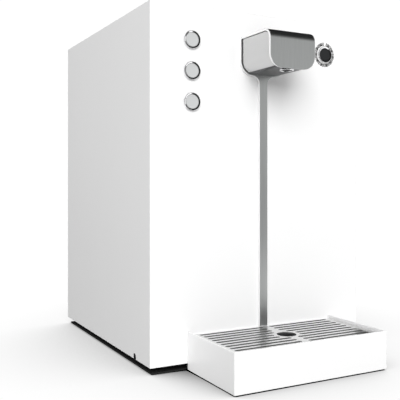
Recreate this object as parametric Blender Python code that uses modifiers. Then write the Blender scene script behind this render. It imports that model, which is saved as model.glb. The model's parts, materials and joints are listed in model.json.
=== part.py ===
# Countertop water dispenser: a painted steel cabinet with a bent steel spout, three push
# buttons, an indicator and a separate drip tray, with the cooling and carbonating parts inside.
# Metres, +Z up, the front faces -Y. The origin is on the worktop, at the middle of the footprint.

import math

import bmesh
import bpy
from mathutils import Matrix, Vector

# Cabinet
BODY_WIDTH = 0.290
BODY_HEIGHT = 0.400
BODY_DEPTH = 0.306
BODY_BOTTOM = 0.0085        # lower edge of the painted panels above the worktop
SHEET = 0.0015              # side, top and rear panels
FRONT_SHEET = 0.002
GAP = 0.0003                # clearance between neighbouring pieces
LIP = 0.012                 # folded edge of the top cover
PAN_LIP = 0.014
PAN_SHEET = 0.0012

# Base
BASE_INSET = 0.0035
BASE_MAT_THICKNESS = 0.002
PLINTH_INSET = 0.030
PLINTH_WALL = 0.004
SCREW_HEAD_RADIUS = 0.0040
SCREW_NOTCH_CLEARANCE = 0.0004
SCREW_BEHIND_FRONT = 0.044
SCREW_ABOVE_EDGE = 0.0022
SCREW_DRIVE = 0.0018        # radius of the hexagon in the head

# Spout
SPOUT_WIDTH = 0.061
SPOUT_REACH = 0.062
SPOUT_HEIGHT = 0.043
SPOUT_BELOW_TOP = 0.0295    # top of the cabinet down to the top of the spout
SPOUT_SHEET = 0.0025
SPOUT_CORNER = 0.0155
SPOUT_BEND = 0.0112
BACK_PLATE = 0.003
BACK_MARGIN = 0.0008        # how far the back plate stands out round the spout
STRIP_WIDTH = 0.0115
STRIP_FILLET = 0.009
SHELL_INSET = 0.0009
SHELL_WALL = 0.0015
SHELL_REVEAL = 0.0006       # open line between the shell and the hood
NOZZLE_RADIUS = 0.00825
NOZZLE_BORE = 0.0062
NOZZLE_FORWARD = 0.0495     # nozzle axis in front of the cabinet
NOZZLE_DROP = 0.0007
NOZZLE_HEIGHT = 0.0115
NOZZLE_OUTLET = 0.0028
TUBE_RADIUS = 0.0035
TUBE_ABOVE_EDGE = 0.0225    # tube axis above the lower edge of the spout

# Buttons and indicator
BUTTON_COUNT = 3
BUTTON_FROM_LEFT = 0.051
BUTTON_BELOW_TOP = 0.0385
BUTTON_PITCH = 0.0347
BEZEL_RADIUS = 0.0102
BEZEL_PROUD = 0.0024
BEZEL_BARREL = 0.0090
BEZEL_BORE = 0.0083
BEZEL_LENGTH = 0.012
BARREL_CLEARANCE = 0.0002
CAP_THICKNESS = 0.0055
CAP_RECESS = 0.0004
CAP_TRAVEL = 0.0015
SWITCH_LENGTH = 0.022
LENS_FROM_RIGHT = 0.052
LENS_RADIUS = 0.0085

# Drip tray
TRAY_WIDTH = 0.199
TRAY_REACH = 0.102
TRAY_RIM = 0.044
TRAY_WALL = 0.0015
TRAY_BACK_GAP = 0.0005
TRAY_MAT_THICKNESS = 0.001
TRAY_MAT_INSET = 0.002
GRILLE_DROP = 0.0037
GRILLE_SHEET = 0.0015
GRILLE_CLEARANCE = 0.0005
GRILLE_HOLE = 0.011
HOLE_LAND = 0.004
SLOT_WIDTH = 0.0046
SLOT_PITCH = 0.0094
SLOT_MARGIN = 0.0096        # inner side of the tray to the end of a slot
FIRST_SLOT = 0.0088
LAST_MARGIN = 0.0065
CENTRE_BAR = 0.0090
LINER_WALL = 0.0012
LINER_DEPTH = 0.030

# Rear connections
REAR_PROUD = 0.012
REAR_COLUMN = 0.057         # left edge to the column of mains inlet, switch and knob
INLET_HEIGHT = 0.052
INLET_WIDTH = 0.027
INLET_TALL = 0.0198
INLET_FLANGE = 0.002
INLET_DEPTH = 0.022
INLET_EAR = 0.010
INLET_WALL = 0.0018
INLET_RECESS = 0.016
PIN_SIZE = (0.002, 0.004)
PIN_SPREAD = 0.007
PIN_STEP = 0.002            # the middle pin above its neighbours
PIN_BEHIND = 0.006          # pin ends inside the recess's mouth
ROCKER_HEIGHT = 0.088
ROCKER_RADIUS = 0.0085
ROCKER_WIDTH = 0.0105
ROCKER_TILT = math.radians(8)
ROCKER_CLEARANCE = 0.0005
ROCKER_PIVOT = 0.002        # pivot inside the rear face
ROCKER_CREST = 0.0035       # crest of the rocker outside the pivot
FRAME_WALL = 0.0015
FRAME_RIM = 0.0014
KNOB_HEIGHT = 0.130
KNOB_RADIUS = 0.014
KNOB_DEPTH = 0.009
KNOB_FLOOR = 0.0024
SPINDLE_RADIUS = 0.0030
SPINDLE_PROUD = 0.006
SPINDLE_HOLE = 0.0045
THERMOSTAT_RADIUS = 0.012
THERMOSTAT_DEPTH = 0.018
WATER_FROM_RIGHT = 0.045
GAS_FROM_RIGHT = 0.115
FITTING_ABOVE_LIP = 0.0025
FITTING_RADIUS = 0.0085
FITTING_BORE = 0.0041
FITTING_BARREL = 0.0070
FITTING_INSIDE = 0.012
FITTING_FLOOR = 0.006
VENT_SIDE = 0.028           # a vent's end to the cabinet's side
VENT_MIDDLE = 0.007         # a vent's end to the middle of the panel
VENT_WIDTH = 0.004
VENT_PITCH = 0.011
LOW_VENTS = 11
HIGH_VENTS = 4
HIGH_VENT_BELOW_TOP = 0.075

# Cooling
COMPRESSOR_RADIUS = 0.052
COMPRESSOR_HEIGHT = 0.150
COMPRESSOR_CROWN = 0.034
COMPRESSOR_FOOT = 0.006     # its foot plate past the can
COMPRESSOR_LIFT = 0.010
COMPRESSOR_FROM_LEFT = 0.071
COMPRESSOR_BACK = 0.022     # behind the middle of the cabinet
CONDENSER_DEPTH = 0.024
CONDENSER_FROM_RIGHT = 0.083
CONDENSER_LOW = 0.048
SHELF_OVER_CONDENSER = 0.018
CONDENSER_FINS = 15
CONDENSER_WEB = 0.003
CONDENSER_FROM_REAR = 0.004
FAN_RADIUS = 0.052
FAN_TIP_CLEARANCE = 0.003
SHROUD_MARGIN = 0.010       # the shroud's hole to its edge
FAN_BLADES = 5
FAN_DEPTH = 0.016
BLADE_CHORD = 0.018
FAN_HUB = 0.014
FAN_BORE = 0.0026
FAN_SHAFT = 0.0022
FAN_SHEET = 0.002
FAN_SPACE = 0.002           # blade to shroud, and shaft end to shroud
STRAP_SPACE = 0.003
STRAP_HALF = 0.009
POST_SPACE = 0.001          # post outside the shroud's hole
POST_WIDTH = 0.005
BLADE_SHEET = 0.0014
BLADE_ROOT = 0.003          # how far a blade runs into the hub
ROOT_PITCH = 62
TIP_PITCH = 44
MOTOR_RADIUS = 0.024
MOTOR_LENGTH = 0.034

# Water side
TANK_BEHIND = 0.0097        # the jacket's front behind the middle of the manifold
TANK_RADIUS = 0.050
TANK_BELOW_TOP = 0.0599
TANK_WALL = 0.0015
COIL_TUBE = 0.0035
COIL_PITCH = 0.018
COIL_MARGIN = 0.020
COIL_SPACE = 0.0005
JACKET_WALL = 0.012
JACKET_SPACE = 0.003
JACKET_FLOOR = 0.010
LID_HEIGHT = 0.006
LID_PLUG = 0.004
CARBONATOR_RADIUS = 0.038
CARBONATOR_BELOW_TOP = 0.0502
CARBONATOR_CROWN = 0.014
CARBONATOR_WALL = 0.003
CARBONATOR_PORT = 0.004
CARBONATOR_SPACE = 0.0072   # to the left side panel
PUMP_LENGTH = 0.040
PUMP_PAST_INLET = 0.010
PUMP_BEHIND = 0.050
PUMP_FOOT = 0.006
PUMP_SIZE = 0.046
PUMP_MOTOR_RADIUS = 0.024
PUMP_MOTOR_LENGTH = 0.070
MANIFOLD_LENGTH = 0.072
MANIFOLD_DEPTH = 0.024
MANIFOLD_TALL = 0.020
SOLENOID_RADIUS = 0.0105
SOLENOID_HEIGHT = 0.034
SOLENOID_PITCH = 0.028
SOLENOID_FIRST = 0.024      # spout axis to the first valve
MANIFOLD_RIGHT = 0.010      # its end past the spout axis
MANIFOLD_BEHIND = 0.052
RISER_BEHIND = 0.022        # rising tube behind the front panel
TUBE_BEND = 0.0085
HOSE_RADIUS = 0.004

# Electrics
BOARD_BEHIND = 0.034
BOARD_SHEET = 0.0016
BOARD_FROM_LEFT = 0.018
BOARD_WIDTH = 0.105
BOARD_OVER_VALVES = 0.0009
BOARD_BELOW_TOP = 0.023
SUPPLY_SIZE = (0.095, 0.056, 0.038)
SUPPLY_FROM_LEFT = 0.010
SUPPLY_FROM_REAR = 0.022
SHELF_BEHIND = 0.034
SHELF_FROM_REAR = 0.012

# Planes that the pieces share
FRONT = (TRAY_REACH - BODY_DEPTH - REAR_PROUD) / 2
REAR = FRONT + BODY_DEPTH
BODY_TOP = BODY_BOTTOM + BODY_HEIGHT
HALF = BODY_WIDTH / 2
INNER_HALF = HALF - SHEET - GAP
INNER_FRONT = FRONT + FRONT_SHEET + GAP
SPOUT_TOP = BODY_TOP - SPOUT_BELOW_TOP
SPOUT_LOW = SPOUT_TOP - SPOUT_HEIGHT
TRAY_LOW = TRAY_MAT_THICKNESS + GAP
GRILLE_TOP = TRAY_RIM - GRILLE_DROP
GRILLE_BACK = FRONT - GAP - BACK_PLATE - GRILLE_CLEARANCE
TRAY_INNER_HALF = TRAY_WIDTH / 2 - TRAY_WALL
TRAY_INNER_FRONT = FRONT - TRAY_REACH + TRAY_WALL
PAN_FLOOR = BODY_BOTTOM + PAN_SHEET
FITTING_HEIGHT = BODY_BOTTOM + PAN_LIP + FITTING_ABOVE_LIP + FITTING_BARREL
CONDENSER_SIZE = 2 * (FAN_RADIUS + FAN_TIP_CLEARANCE + SHROUD_MARGIN)
SHELF_HEIGHT = CONDENSER_LOW + CONDENSER_SIZE + SHELF_OVER_CONDENSER
SHELF_TOP = SHELF_HEIGHT + LIP
TUBE_HEIGHT = SPOUT_LOW + TUBE_ABOVE_EDGE
REAR_LEFT = -HALF + REAR_COLUMN
WATER_INLET_X = HALF - WATER_FROM_RIGHT
GAS_INLET_X = HALF - GAS_FROM_RIGHT
CONDENSER_X = HALF - CONDENSER_FROM_RIGHT
CONDENSER_BACK = REAR - SHEET - CONDENSER_FROM_REAR
JACKET_INNER = TANK_RADIUS + 2 * COIL_TUBE + JACKET_SPACE
JACKET_OUTER = JACKET_INNER + JACKET_WALL
CARBONATOR_X = CARBONATOR_SPACE + CARBONATOR_RADIUS - INNER_HALF
TANK_ROOM = 2 * (INNER_HALF - CARBONATOR_RADIUS - JACKET_OUTER) - CARBONATOR_SPACE
TANK_X = INNER_HALF - TANK_ROOM / 4 - JACKET_OUTER
TANK_TOP = BODY_TOP - TANK_BELOW_TOP
SUPPLY_FRONT = REAR - SUPPLY_FROM_REAR - SUPPLY_SIZE[1]
MANIFOLD_Y = INNER_FRONT + MANIFOLD_BEHIND
TANK_Y = MANIFOLD_Y + TANK_BEHIND + JACKET_OUTER
MANIFOLD_PORT_Z = SHELF_TOP + GAP + MANIFOLD_TALL + GAP
CARBONATOR_Y = (MANIFOLD_Y + SOLENOID_RADIUS + SUPPLY_FRONT) / 2
SHROUD_BACK = CONDENSER_BACK - CONDENSER_DEPTH - GAP
FAN_Z = CONDENSER_LOW + CONDENSER_SIZE / 2

# Turning a flat outline drawn in local XY: facing the front, or facing sideways
UPRIGHT = Matrix.Rotation(math.radians(90), 4, "X")
SIDEWAYS = Matrix.Rotation(math.radians(90), 4, "Z") @ Matrix.Rotation(math.radians(90), 4, "X")
TO_REAR = Matrix.Rotation(math.radians(-90), 4, "X")
TO_FRONT = Matrix.Rotation(math.radians(90), 4, "X")
TO_RIGHT = Matrix.Rotation(math.radians(90), 4, "Y")
TO_LEFT = Matrix.Rotation(math.radians(-90), 4, "Y")

for old in list(bpy.data.objects):
    bpy.data.objects.remove(old, do_unlink=True)

parts = bpy.data.collections.new("water_dispenser")
helpers = bpy.data.collections.new("cutters")
bpy.context.scene.collection.children.link(parts)
bpy.context.scene.collection.children.link(helpers)


# Materials

def material(name, colour, roughness, metallic):
    made = bpy.data.materials.new(name)
    made.use_nodes = True
    shader = made.node_tree.nodes["Principled BSDF"]
    shader.inputs["Base Color"].default_value = (*colour, 1.0)
    shader.inputs["Roughness"].default_value = roughness
    shader.inputs["Metallic"].default_value = metallic
    made.diffuse_color = (*colour, 1.0)
    return made


WHITE_PAINT = material("white_paint", (0.86, 0.86, 0.86), 0.35, 0.0)
BRUSHED = material("brushed_steel", (0.55, 0.56, 0.56), 0.32, 1.0)
SATIN = material("satin_shell", (0.68, 0.69, 0.69), 0.40, 0.6)
CHROME = material("chrome", (0.85, 0.86, 0.87), 0.06, 1.0)
CAP_GREY = material("cap_grey", (0.72, 0.73, 0.73), 0.30, 0.3)
BLACK_RUBBER = material("black_rubber", (0.015, 0.015, 0.015), 0.75, 0.0)
BLACK_PLASTIC = material("black_plastic", (0.02, 0.02, 0.022), 0.45, 0.0)
BLACK_LENS = material("black_lens", (0.01, 0.01, 0.012), 0.08, 0.0)
GREY_PLASTIC = material("grey_plastic", (0.20, 0.205, 0.21), 0.50, 0.0)
ZINC = material("zinc_plate", (0.62, 0.64, 0.66), 0.38, 1.0)
STEEL = material("stainless", (0.66, 0.67, 0.68), 0.25, 1.0)
FOAM = material("foam", (0.16, 0.16, 0.17), 0.9, 0.0)
COPPER = material("copper", (0.80, 0.42, 0.26), 0.30, 1.0)
BRASS = material("brass", (0.75, 0.58, 0.28), 0.30, 1.0)
BOARD_GREEN = material("board_green", (0.03, 0.20, 0.09), 0.45, 0.0)
ENAMEL = material("black_enamel", (0.03, 0.03, 0.03), 0.35, 0.0)


# Shape helpers

def add_object(name, data, finish, place=Matrix.Identity(4)):
    piece = bpy.data.objects.new(name, data)
    data.materials.append(finish)
    piece.matrix_world = place
    parts.objects.link(piece)
    return piece


def mesh_from(shape, name):
    mesh = bpy.data.meshes.new(name)
    shape.to_mesh(mesh)
    shape.free()
    return mesh


def block(name, low, high, finish, bevel=0.0):
    # A box between two corners, with its origin at its middle.
    size = [h - l for l, h in zip(low, high)]
    middle = [(h + l) / 2 for l, h in zip(low, high)]
    shape = bmesh.new()
    bmesh.ops.create_cube(shape, size=1.0)
    bmesh.ops.scale(shape, vec=size, verts=shape.verts)
    piece = add_object(name, mesh_from(shape, name), finish, Matrix.Translation(middle))
    if bevel:
        rounded(piece, bevel)
    return piece


def rounded(piece, width, segments=1):
    bevel = piece.modifiers.new("edges", "BEVEL")
    bevel.width = width
    bevel.segments = segments
    bevel.limit_method = "ANGLE"
    bevel.angle_limit = math.radians(50)
    return piece


def pan(name, low, high, wall, finish, open_below=False):
    # A folded box with one side open, its sheet growing inwards.
    size = [h - l for l, h in zip(low, high)]
    middle = [(h + l) / 2 for l, h in zip(low, high)]
    shape = bmesh.new()
    bmesh.ops.create_cube(shape, size=1.0)
    bmesh.ops.scale(shape, vec=size, verts=shape.verts)
    side = -1 if open_below else 1
    mouth = [face for face in shape.faces if face.normal.z * side > 0.5]
    bmesh.ops.delete(shape, geom=mouth, context="FACES_ONLY")
    piece = add_object(name, mesh_from(shape, name), finish, Matrix.Translation(middle))
    sheet = piece.modifiers.new("sheet", "SOLIDIFY")
    sheet.thickness = wall
    sheet.offset = -1
    sheet.use_even_offset = True
    return piece


def cylinder(name, radius, length, finish, start, turn=Matrix.Identity(4), sides=24):
    # A round bar from its start along local +Z.
    shape = bmesh.new()
    bmesh.ops.create_cone(shape, cap_ends=True, segments=sides, radius1=radius, radius2=radius,
                          depth=length)
    bmesh.ops.translate(shape, vec=(0, 0, length / 2), verts=shape.verts)
    mesh = mesh_from(shape, name)
    mesh.shade_smooth()
    mesh.set_sharp_from_angle(angle=math.radians(40))
    return add_object(name, mesh, finish, Matrix.Translation(start) @ turn)


def turned(name, profile, finish, start, turn=Matrix.Identity(4), steps=24, closed=False):
    # A profile of (radius, height) points, run down its outer side and spun about local Z.
    mesh = bpy.data.meshes.new(name)
    count = len(profile)
    edges = [(i, i + 1) for i in range(count - 1)]
    if closed:
        edges.append((count - 1, 0))
    mesh.from_pydata([(radius, 0, height) for radius, height in profile], edges, [])
    piece = add_object(name, mesh, finish, Matrix.Translation(start) @ turn)
    spin = piece.modifiers.new("spin", "SCREW")
    spin.steps = steps
    spin.render_steps = steps
    spin.use_merge_vertices = True
    spin.merge_threshold = 0.00001
    spin.use_smooth_shade = True
    return piece


def arc(centre, radius, start, end, steps):
    # Points on an arc, its angles in degrees.
    found = []
    for i in range(steps + 1):
        angle = math.radians(start + (end - start) * i / steps)
        found.append((centre[0] + radius * math.cos(angle), centre[1] + radius * math.sin(angle)))
    return found


def circle(centre, radius, sides=24):
    return arc(centre, radius, 0, 360 * (sides - 1) / sides, sides - 1)


def rounded_rectangle(centre, width, height, radius, steps=3):
    x = width / 2 - radius
    y = height / 2 - radius
    corners = ((x, y, 0), (-x, y, 90), (-x, -y, 180), (x, -y, 270))
    found = []
    for cx, cy, turn in corners:
        found += arc((centre[0] + cx, centre[1] + cy), radius, turn, turn + 90, steps)
    return found


def plate(name, outlines, thickness, finish, place):
    # A flat outline with its holes, half its thickness each side of its own plane.
    curve = bpy.data.curves.new(name, "CURVE")
    curve.dimensions = "2D"
    curve.fill_mode = "BOTH"
    curve.extrude = thickness / 2
    curve.render_resolution_u = 0
    for points in outlines:
        spline = curve.splines.new("POLY")
        spline.points.add(len(points) - 1)
        for point, (x, y) in zip(spline.points, points):
            point.co = (x, y, 0, 1)
        spline.use_cyclic_u = True
    return add_object(name, curve, finish, place)


def tube(name, points, radius, finish, resolution=2):
    curve = bpy.data.curves.new(name, "CURVE")
    curve.dimensions = "3D"
    curve.bevel_depth = radius
    curve.bevel_resolution = resolution
    curve.use_fill_caps = True
    spline = curve.splines.new("POLY")
    spline.points.add(len(points) - 1)
    for point, co in zip(spline.points, points):
        point.co = (*co, 1)
    return add_object(name, curve, finish)


def bent(points, radius, steps=4):
    # A polyline with its inner corners replaced by arcs of the given bend radius.
    path = [Vector(points[0])]
    for before, corner, after in zip(points, points[1:], points[2:]):
        corner = Vector(corner)
        into = (Vector(before) - corner).normalized()
        out = (Vector(after) - corner).normalized()
        half = into.angle(out) / 2
        reach = radius / math.tan(half)
        centre = corner + (into + out).normalized() * radius / math.sin(half)
        first = (corner + into * reach - centre).normalized()
        last = (corner + out * reach - centre).normalized()
        for i in range(steps + 1):
            path.append(centre + first.slerp(last, i / steps) * radius)
    path.append(Vector(points[-1]))
    return path


def as_mesh(piece):
    # A curve made a mesh, with its loose caps joined, so that it can be cut or joined.
    bpy.context.view_layer.update()
    evaluated = piece.evaluated_get(bpy.context.evaluated_depsgraph_get())
    mesh = bpy.data.meshes.new_from_object(evaluated)
    shape = bmesh.new()
    shape.from_mesh(mesh)
    bmesh.ops.remove_doubles(shape, verts=shape.verts, dist=0.000001)
    shape.to_mesh(mesh)
    shape.free()
    name = piece.name
    place = piece.matrix_world.copy()
    bpy.data.objects.remove(piece)
    made = bpy.data.objects.new(name, mesh)
    made.matrix_world = place
    parts.objects.link(made)
    return made


def combine(piece, other, operation):
    if other.type == "CURVE":
        other = as_mesh(other)
    if other.name in parts.objects:
        parts.objects.unlink(other)
        helpers.objects.link(other)
    other.hide_render = True
    other.display_type = "WIRE"
    boolean = piece.modifiers.new(operation.lower(), "BOOLEAN")
    boolean.operation = operation
    boolean.object = other
    boolean.solver = "EXACT"
    return piece


def cut(piece, cutter):
    return combine(piece, cutter, "DIFFERENCE")


def join(piece, other):
    return combine(piece, other, "UNION")


# Base and cabinet

def make_base():
    low_front = FRONT + BASE_INSET
    block("base_mat", (-HALF + BASE_INSET, low_front, 0),
          (HALF - BASE_INSET, REAR - BASE_INSET, BASE_MAT_THICKNESS), BLACK_RUBBER, 0.0004)
    plinth_middle = (0, (FRONT + REAR) / 2)
    outer = rounded_rectangle((0, 0), BODY_WIDTH - 2 * PLINTH_INSET, BODY_DEPTH - 2 * PLINTH_INSET,
                              0.010)
    inner = rounded_rectangle((0, 0), BODY_WIDTH - 2 * (PLINTH_INSET + PLINTH_WALL),
                              BODY_DEPTH - 2 * (PLINTH_INSET + PLINTH_WALL), 0.006)
    low = BASE_MAT_THICKNESS + GAP
    high = BODY_BOTTOM - GAP
    plate("plinth", [outer, inner], high - low, BLACK_PLASTIC,
          Matrix.Translation((*plinth_middle, (low + high) / 2)))
    pan("base_pan", (-INNER_HALF, INNER_FRONT, BODY_BOTTOM),
        (INNER_HALF, REAR - SHEET - GAP, BODY_BOTTOM + PAN_LIP), PAN_SHEET, ZINC)


def make_side_panel(name, side):
    # A flat sheet with a notch for its screw in the lower edge.
    front = INNER_FRONT
    screw = FRONT + SCREW_BEHIND_FRONT
    radius = SCREW_HEAD_RADIUS + SCREW_NOTCH_CLEARANCE
    notch_z = BODY_BOTTOM + SCREW_ABOVE_EDGE
    dip = math.degrees(math.asin(SCREW_ABOVE_EDGE / radius))
    notch = arc((screw, notch_z), radius, 180 + dip, -dip, 12)
    outline = [(front, BODY_BOTTOM), *notch, (REAR, BODY_BOTTOM), (REAR, BODY_TOP),
               (front, BODY_TOP)]
    middle = side * (HALF - SHEET / 2)
    plate(name, [outline], SHEET, WHITE_PAINT, Matrix.Translation((middle, 0, 0)) @ SIDEWAYS)


def make_side_screw(name, side):
    # A black head that fills the notch, level with the panel.
    turn = TO_RIGHT if side > 0 else TO_LEFT
    head = SHEET - GAP
    start = (side * (HALF - head - GAP / 2), FRONT + SCREW_BEHIND_FRONT,
             BODY_BOTTOM + SCREW_ABOVE_EDGE)
    profile = [(0, head), (SCREW_HEAD_RADIUS * 0.8, head), (SCREW_HEAD_RADIUS, head * 0.55),
               (SCREW_HEAD_RADIUS, 0), (0, 0)]
    screw = turned(name, profile, BLACK_PLASTIC, start, turn, steps=24)
    drive = cylinder(name + "_drive", SCREW_DRIVE, head, BLACK_PLASTIC,
                     Vector(start) + Vector((side * head * 0.4, 0, 0)), turn, sides=6)
    cut(screw, drive)


def make_top_cover():
    pan("top_cover", (-INNER_HALF, INNER_FRONT, BODY_TOP - LIP), (INNER_HALF, REAR, BODY_TOP),
        SHEET, WHITE_PAINT, open_below=True)


def button_places():
    left = -HALF + BUTTON_FROM_LEFT
    top = BODY_TOP - BUTTON_BELOW_TOP
    return [(left, top - i * BUTTON_PITCH) for i in range(BUTTON_COUNT)]


def lens_place():
    return (HALF - LENS_FROM_RIGHT, BODY_TOP - BUTTON_BELOW_TOP)


def make_front_panel():
    middle = (BODY_BOTTOM + BODY_TOP) / 2
    outline = rounded_rectangle((0, middle), BODY_WIDTH, BODY_HEIGHT, 0.0004, 1)
    barrel_hole = BEZEL_BARREL + BARREL_CLEARANCE
    holes = [circle(place, barrel_hole) for place in [*button_places(), lens_place()]]
    holes.append(circle((0, TUBE_HEIGHT), TUBE_RADIUS + 0.001, 16))
    plate("front_panel", [outline, *holes], FRONT_SHEET, WHITE_PAINT,
          Matrix.Translation((0, FRONT + FRONT_SHEET / 2, 0)) @ UPRIGHT)


def vent_rows(side, low, count):
    # Slots from near the middle of the panel to near its side.
    length = HALF - VENT_SIDE - VENT_MIDDLE
    centre = side * (VENT_MIDDLE + length / 2)
    return [rounded_rectangle((centre, low + i * VENT_PITCH), length, VENT_WIDTH,
                              VENT_WIDTH / 2 - 0.0001, 2) for i in range(count)]


def make_rear_panel():
    low = BODY_BOTTOM
    high = BODY_TOP - LIP - GAP
    outline = rounded_rectangle((0, (low + high) / 2), 2 * INNER_HALF, high - low, 0.0005, 1)
    holes = vent_rows(1, CONDENSER_LOW + 0.010, LOW_VENTS)
    high_vents = BODY_TOP - HIGH_VENT_BELOW_TOP
    holes += vent_rows(1, high_vents, HIGH_VENTS)
    holes += vent_rows(-1, high_vents, HIGH_VENTS)
    holes.append(rounded_rectangle((REAR_LEFT, INLET_HEIGHT), INLET_WIDTH + 2 * GAP,
                                   INLET_TALL + 2 * GAP, 0.0002, 1))
    holes.append(rounded_rectangle((REAR_LEFT, ROCKER_HEIGHT), rocker_frame_width() + 2 * GAP,
                                   rocker_frame_tall() + 2 * GAP, 0.0002, 1))
    holes.append(circle((REAR_LEFT, KNOB_HEIGHT), SPINDLE_HOLE, 16))
    for x in (WATER_INLET_X, GAS_INLET_X):
        holes.append(circle((x, FITTING_HEIGHT), FITTING_BARREL + GAP, 24))
    plate("rear_panel", [outline, *holes], SHEET, WHITE_PAINT,
          Matrix.Translation((0, REAR - SHEET / 2, 0)) @ UPRIGHT)


def make_cabinet():
    make_base()
    for name, side in (("left", -1), ("right", 1)):
        make_side_panel(name + "_side_panel", side)
        make_side_screw(name + "_side_screw", side)
    make_top_cover()
    make_front_panel()
    make_rear_panel()
    pan("component_shelf", (-INNER_HALF + GAP, INNER_FRONT + SHELF_BEHIND, SHELF_HEIGHT),
        (INNER_HALF - GAP, REAR - SHEET - SHELF_FROM_REAR, SHELF_TOP), PAN_SHEET, ZINC,
        open_below=True)


# Spout

def spout_outline(half, low, high, radius, steps=6):
    # Square at the top, rounded at the two lower corners.
    return [(half, high), (-half, high),
            *arc((-half + radius, low + radius), radius, 180, 270, steps),
            *arc((half - radius, low + radius), radius, 270, 360, steps)]


def make_fascia():
    # One sheet: strip up the cabinet, back plate, top, bend and front face.
    half = SPOUT_WIDTH / 2 + BACK_MARGIN
    strip = STRIP_WIDTH / 2
    high = SPOUT_TOP + BACK_MARGIN
    low = SPOUT_LOW - BACK_MARGIN
    neck = low - 0.0002         # the edge falls a little towards the strip
    foot = GRILLE_TOP + GRILLE_CLEARANCE
    fillet = STRIP_FILLET
    corner = SPOUT_CORNER + BACK_MARGIN
    back = [(half, high), (-half, high),
            *arc((-half + corner, low + corner), corner, 180, 270, 6),
            *arc((-strip - fillet, neck - fillet), fillet, 90, 0, 5),
            (-strip, foot), (strip, foot),
            *arc((strip + fillet, neck - fillet), fillet, 180, 90, 5),
            *arc((half - corner, low + corner), corner, 270, 360, 6)]
    hole = circle((0, TUBE_HEIGHT), TUBE_RADIUS + 0.001, 16)
    fascia = plate("spout_fascia", [back, hole], BACK_PLATE, BRUSHED,
                   Matrix.Translation((0, FRONT - GAP - BACK_PLATE / 2, 0)) @ UPRIGHT)
    fascia = as_mesh(fascia)
    hood = make_hood()
    join(fascia, hood)


def make_hood():
    overlap = BACK_PLATE / 2
    reach = SPOUT_REACH
    bend = SPOUT_BEND
    inner = bend - SPOUT_SHEET
    front = FRONT - reach
    start = FRONT - GAP - overlap
    profile = [(start, SPOUT_TOP), *arc((front + bend, SPOUT_TOP - bend), bend, 90, 180, 6),
               (front, SPOUT_LOW - 0.002), (front + SPOUT_SHEET, SPOUT_LOW - 0.002),
               *arc((front + bend, SPOUT_TOP - bend), inner, 180, 90, 6),
               (start, SPOUT_TOP - SPOUT_SHEET)]
    hood = plate("hood_sheet", [profile], SPOUT_WIDTH + 0.002, BRUSHED, SIDEWAYS)
    hood = as_mesh(hood)
    outline = spout_outline(SPOUT_WIDTH / 2, SPOUT_LOW, SPOUT_TOP + 0.002, SPOUT_CORNER)
    trim = plate("hood_outline", [outline], 2 * reach, BRUSHED,
                 Matrix.Translation((0, FRONT - reach / 2, 0)) @ UPRIGHT)
    return combine(hood, trim, "INTERSECT")


def make_shell():
    half = SPOUT_WIDTH / 2 - SHELL_INSET
    low = SPOUT_LOW + SHELL_INSET
    high = SPOUT_TOP - SPOUT_SHEET - SHELL_REVEAL
    radius = SPOUT_CORNER - SHELL_INSET
    outer = spout_outline(half, low, high, radius)
    inner = spout_outline(half - SHELL_WALL, low + SHELL_WALL, high, radius - SHELL_WALL)
    section = outer[1:] + [outer[0]] + [inner[0]] + inner[:0:-1]
    back = FRONT - GAP - BACK_PLATE - GAP
    front = FRONT - SPOUT_REACH + SPOUT_SHEET + SHELL_REVEAL
    shell = plate("spout_shell", [section], back - front, SATIN,
                  Matrix.Translation((0, (back + front) / 2, 0)) @ UPRIGHT)
    shell = as_mesh(shell)
    bend = SPOUT_BEND - SPOUT_SHEET - SHELL_REVEAL
    side = [(back + 0.002, low - 0.002), (back + 0.002, high),
            *arc((front + bend, high - bend), bend, 90, 180, 5), (front, low - 0.002)]
    trim = plate("shell_outline", [side], SPOUT_WIDTH, SATIN, SIDEWAYS)
    combine(shell, trim, "INTERSECT")
    hole = cylinder("nozzle_hole", NOZZLE_RADIUS + GAP, 0.02, SATIN,
                    (0, FRONT - NOZZLE_FORWARD, SPOUT_LOW - 0.005))
    cut(shell, hole)


def make_nozzle():
    axis = (0, FRONT - NOZZLE_FORWARD, SPOUT_LOW - NOZZLE_DROP)
    edge = 0.0006
    ring = [(NOZZLE_RADIUS - edge, NOZZLE_HEIGHT), (NOZZLE_RADIUS, NOZZLE_HEIGHT - edge),
            (NOZZLE_RADIUS, edge), (NOZZLE_RADIUS - edge, 0), (NOZZLE_BORE, 0),
            (NOZZLE_BORE, NOZZLE_HEIGHT)]
    turned("nozzle_body", ring, CHROME, axis, closed=True)
    fit = NOZZLE_BORE - GAP
    insert = [(fit, NOZZLE_HEIGHT - 0.001), (fit, 0.0012), (NOZZLE_OUTLET + 0.001, 0.0012),
              (NOZZLE_OUTLET, 0.0022), (NOZZLE_OUTLET, NOZZLE_HEIGHT - 0.001)]
    turned("nozzle_insert", insert, BLACK_PLASTIC, axis, closed=True, steps=24)


def make_outlet_tube():
    # From the manifold up behind the front panel, through it and down into the nozzle.
    nozzle_top = SPOUT_LOW - NOZZLE_DROP + NOZZLE_HEIGHT
    behind = INNER_FRONT + RISER_BEHIND
    offset = MANIFOLD_PORT_Z + 0.012
    path = [(0, FRONT - NOZZLE_FORWARD, nozzle_top + GAP),
            (0, FRONT - NOZZLE_FORWARD, TUBE_HEIGHT),
            (0, behind, TUBE_HEIGHT),
            (0, behind, offset),
            (0, MANIFOLD_Y, offset),
            (0, MANIFOLD_Y, MANIFOLD_PORT_Z)]
    tube("outlet_tube", bent(path, TUBE_BEND), TUBE_RADIUS, STEEL)


def make_spout():
    make_fascia()
    make_shell()
    make_nozzle()
    make_outlet_tube()


# Buttons and indicator

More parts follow.
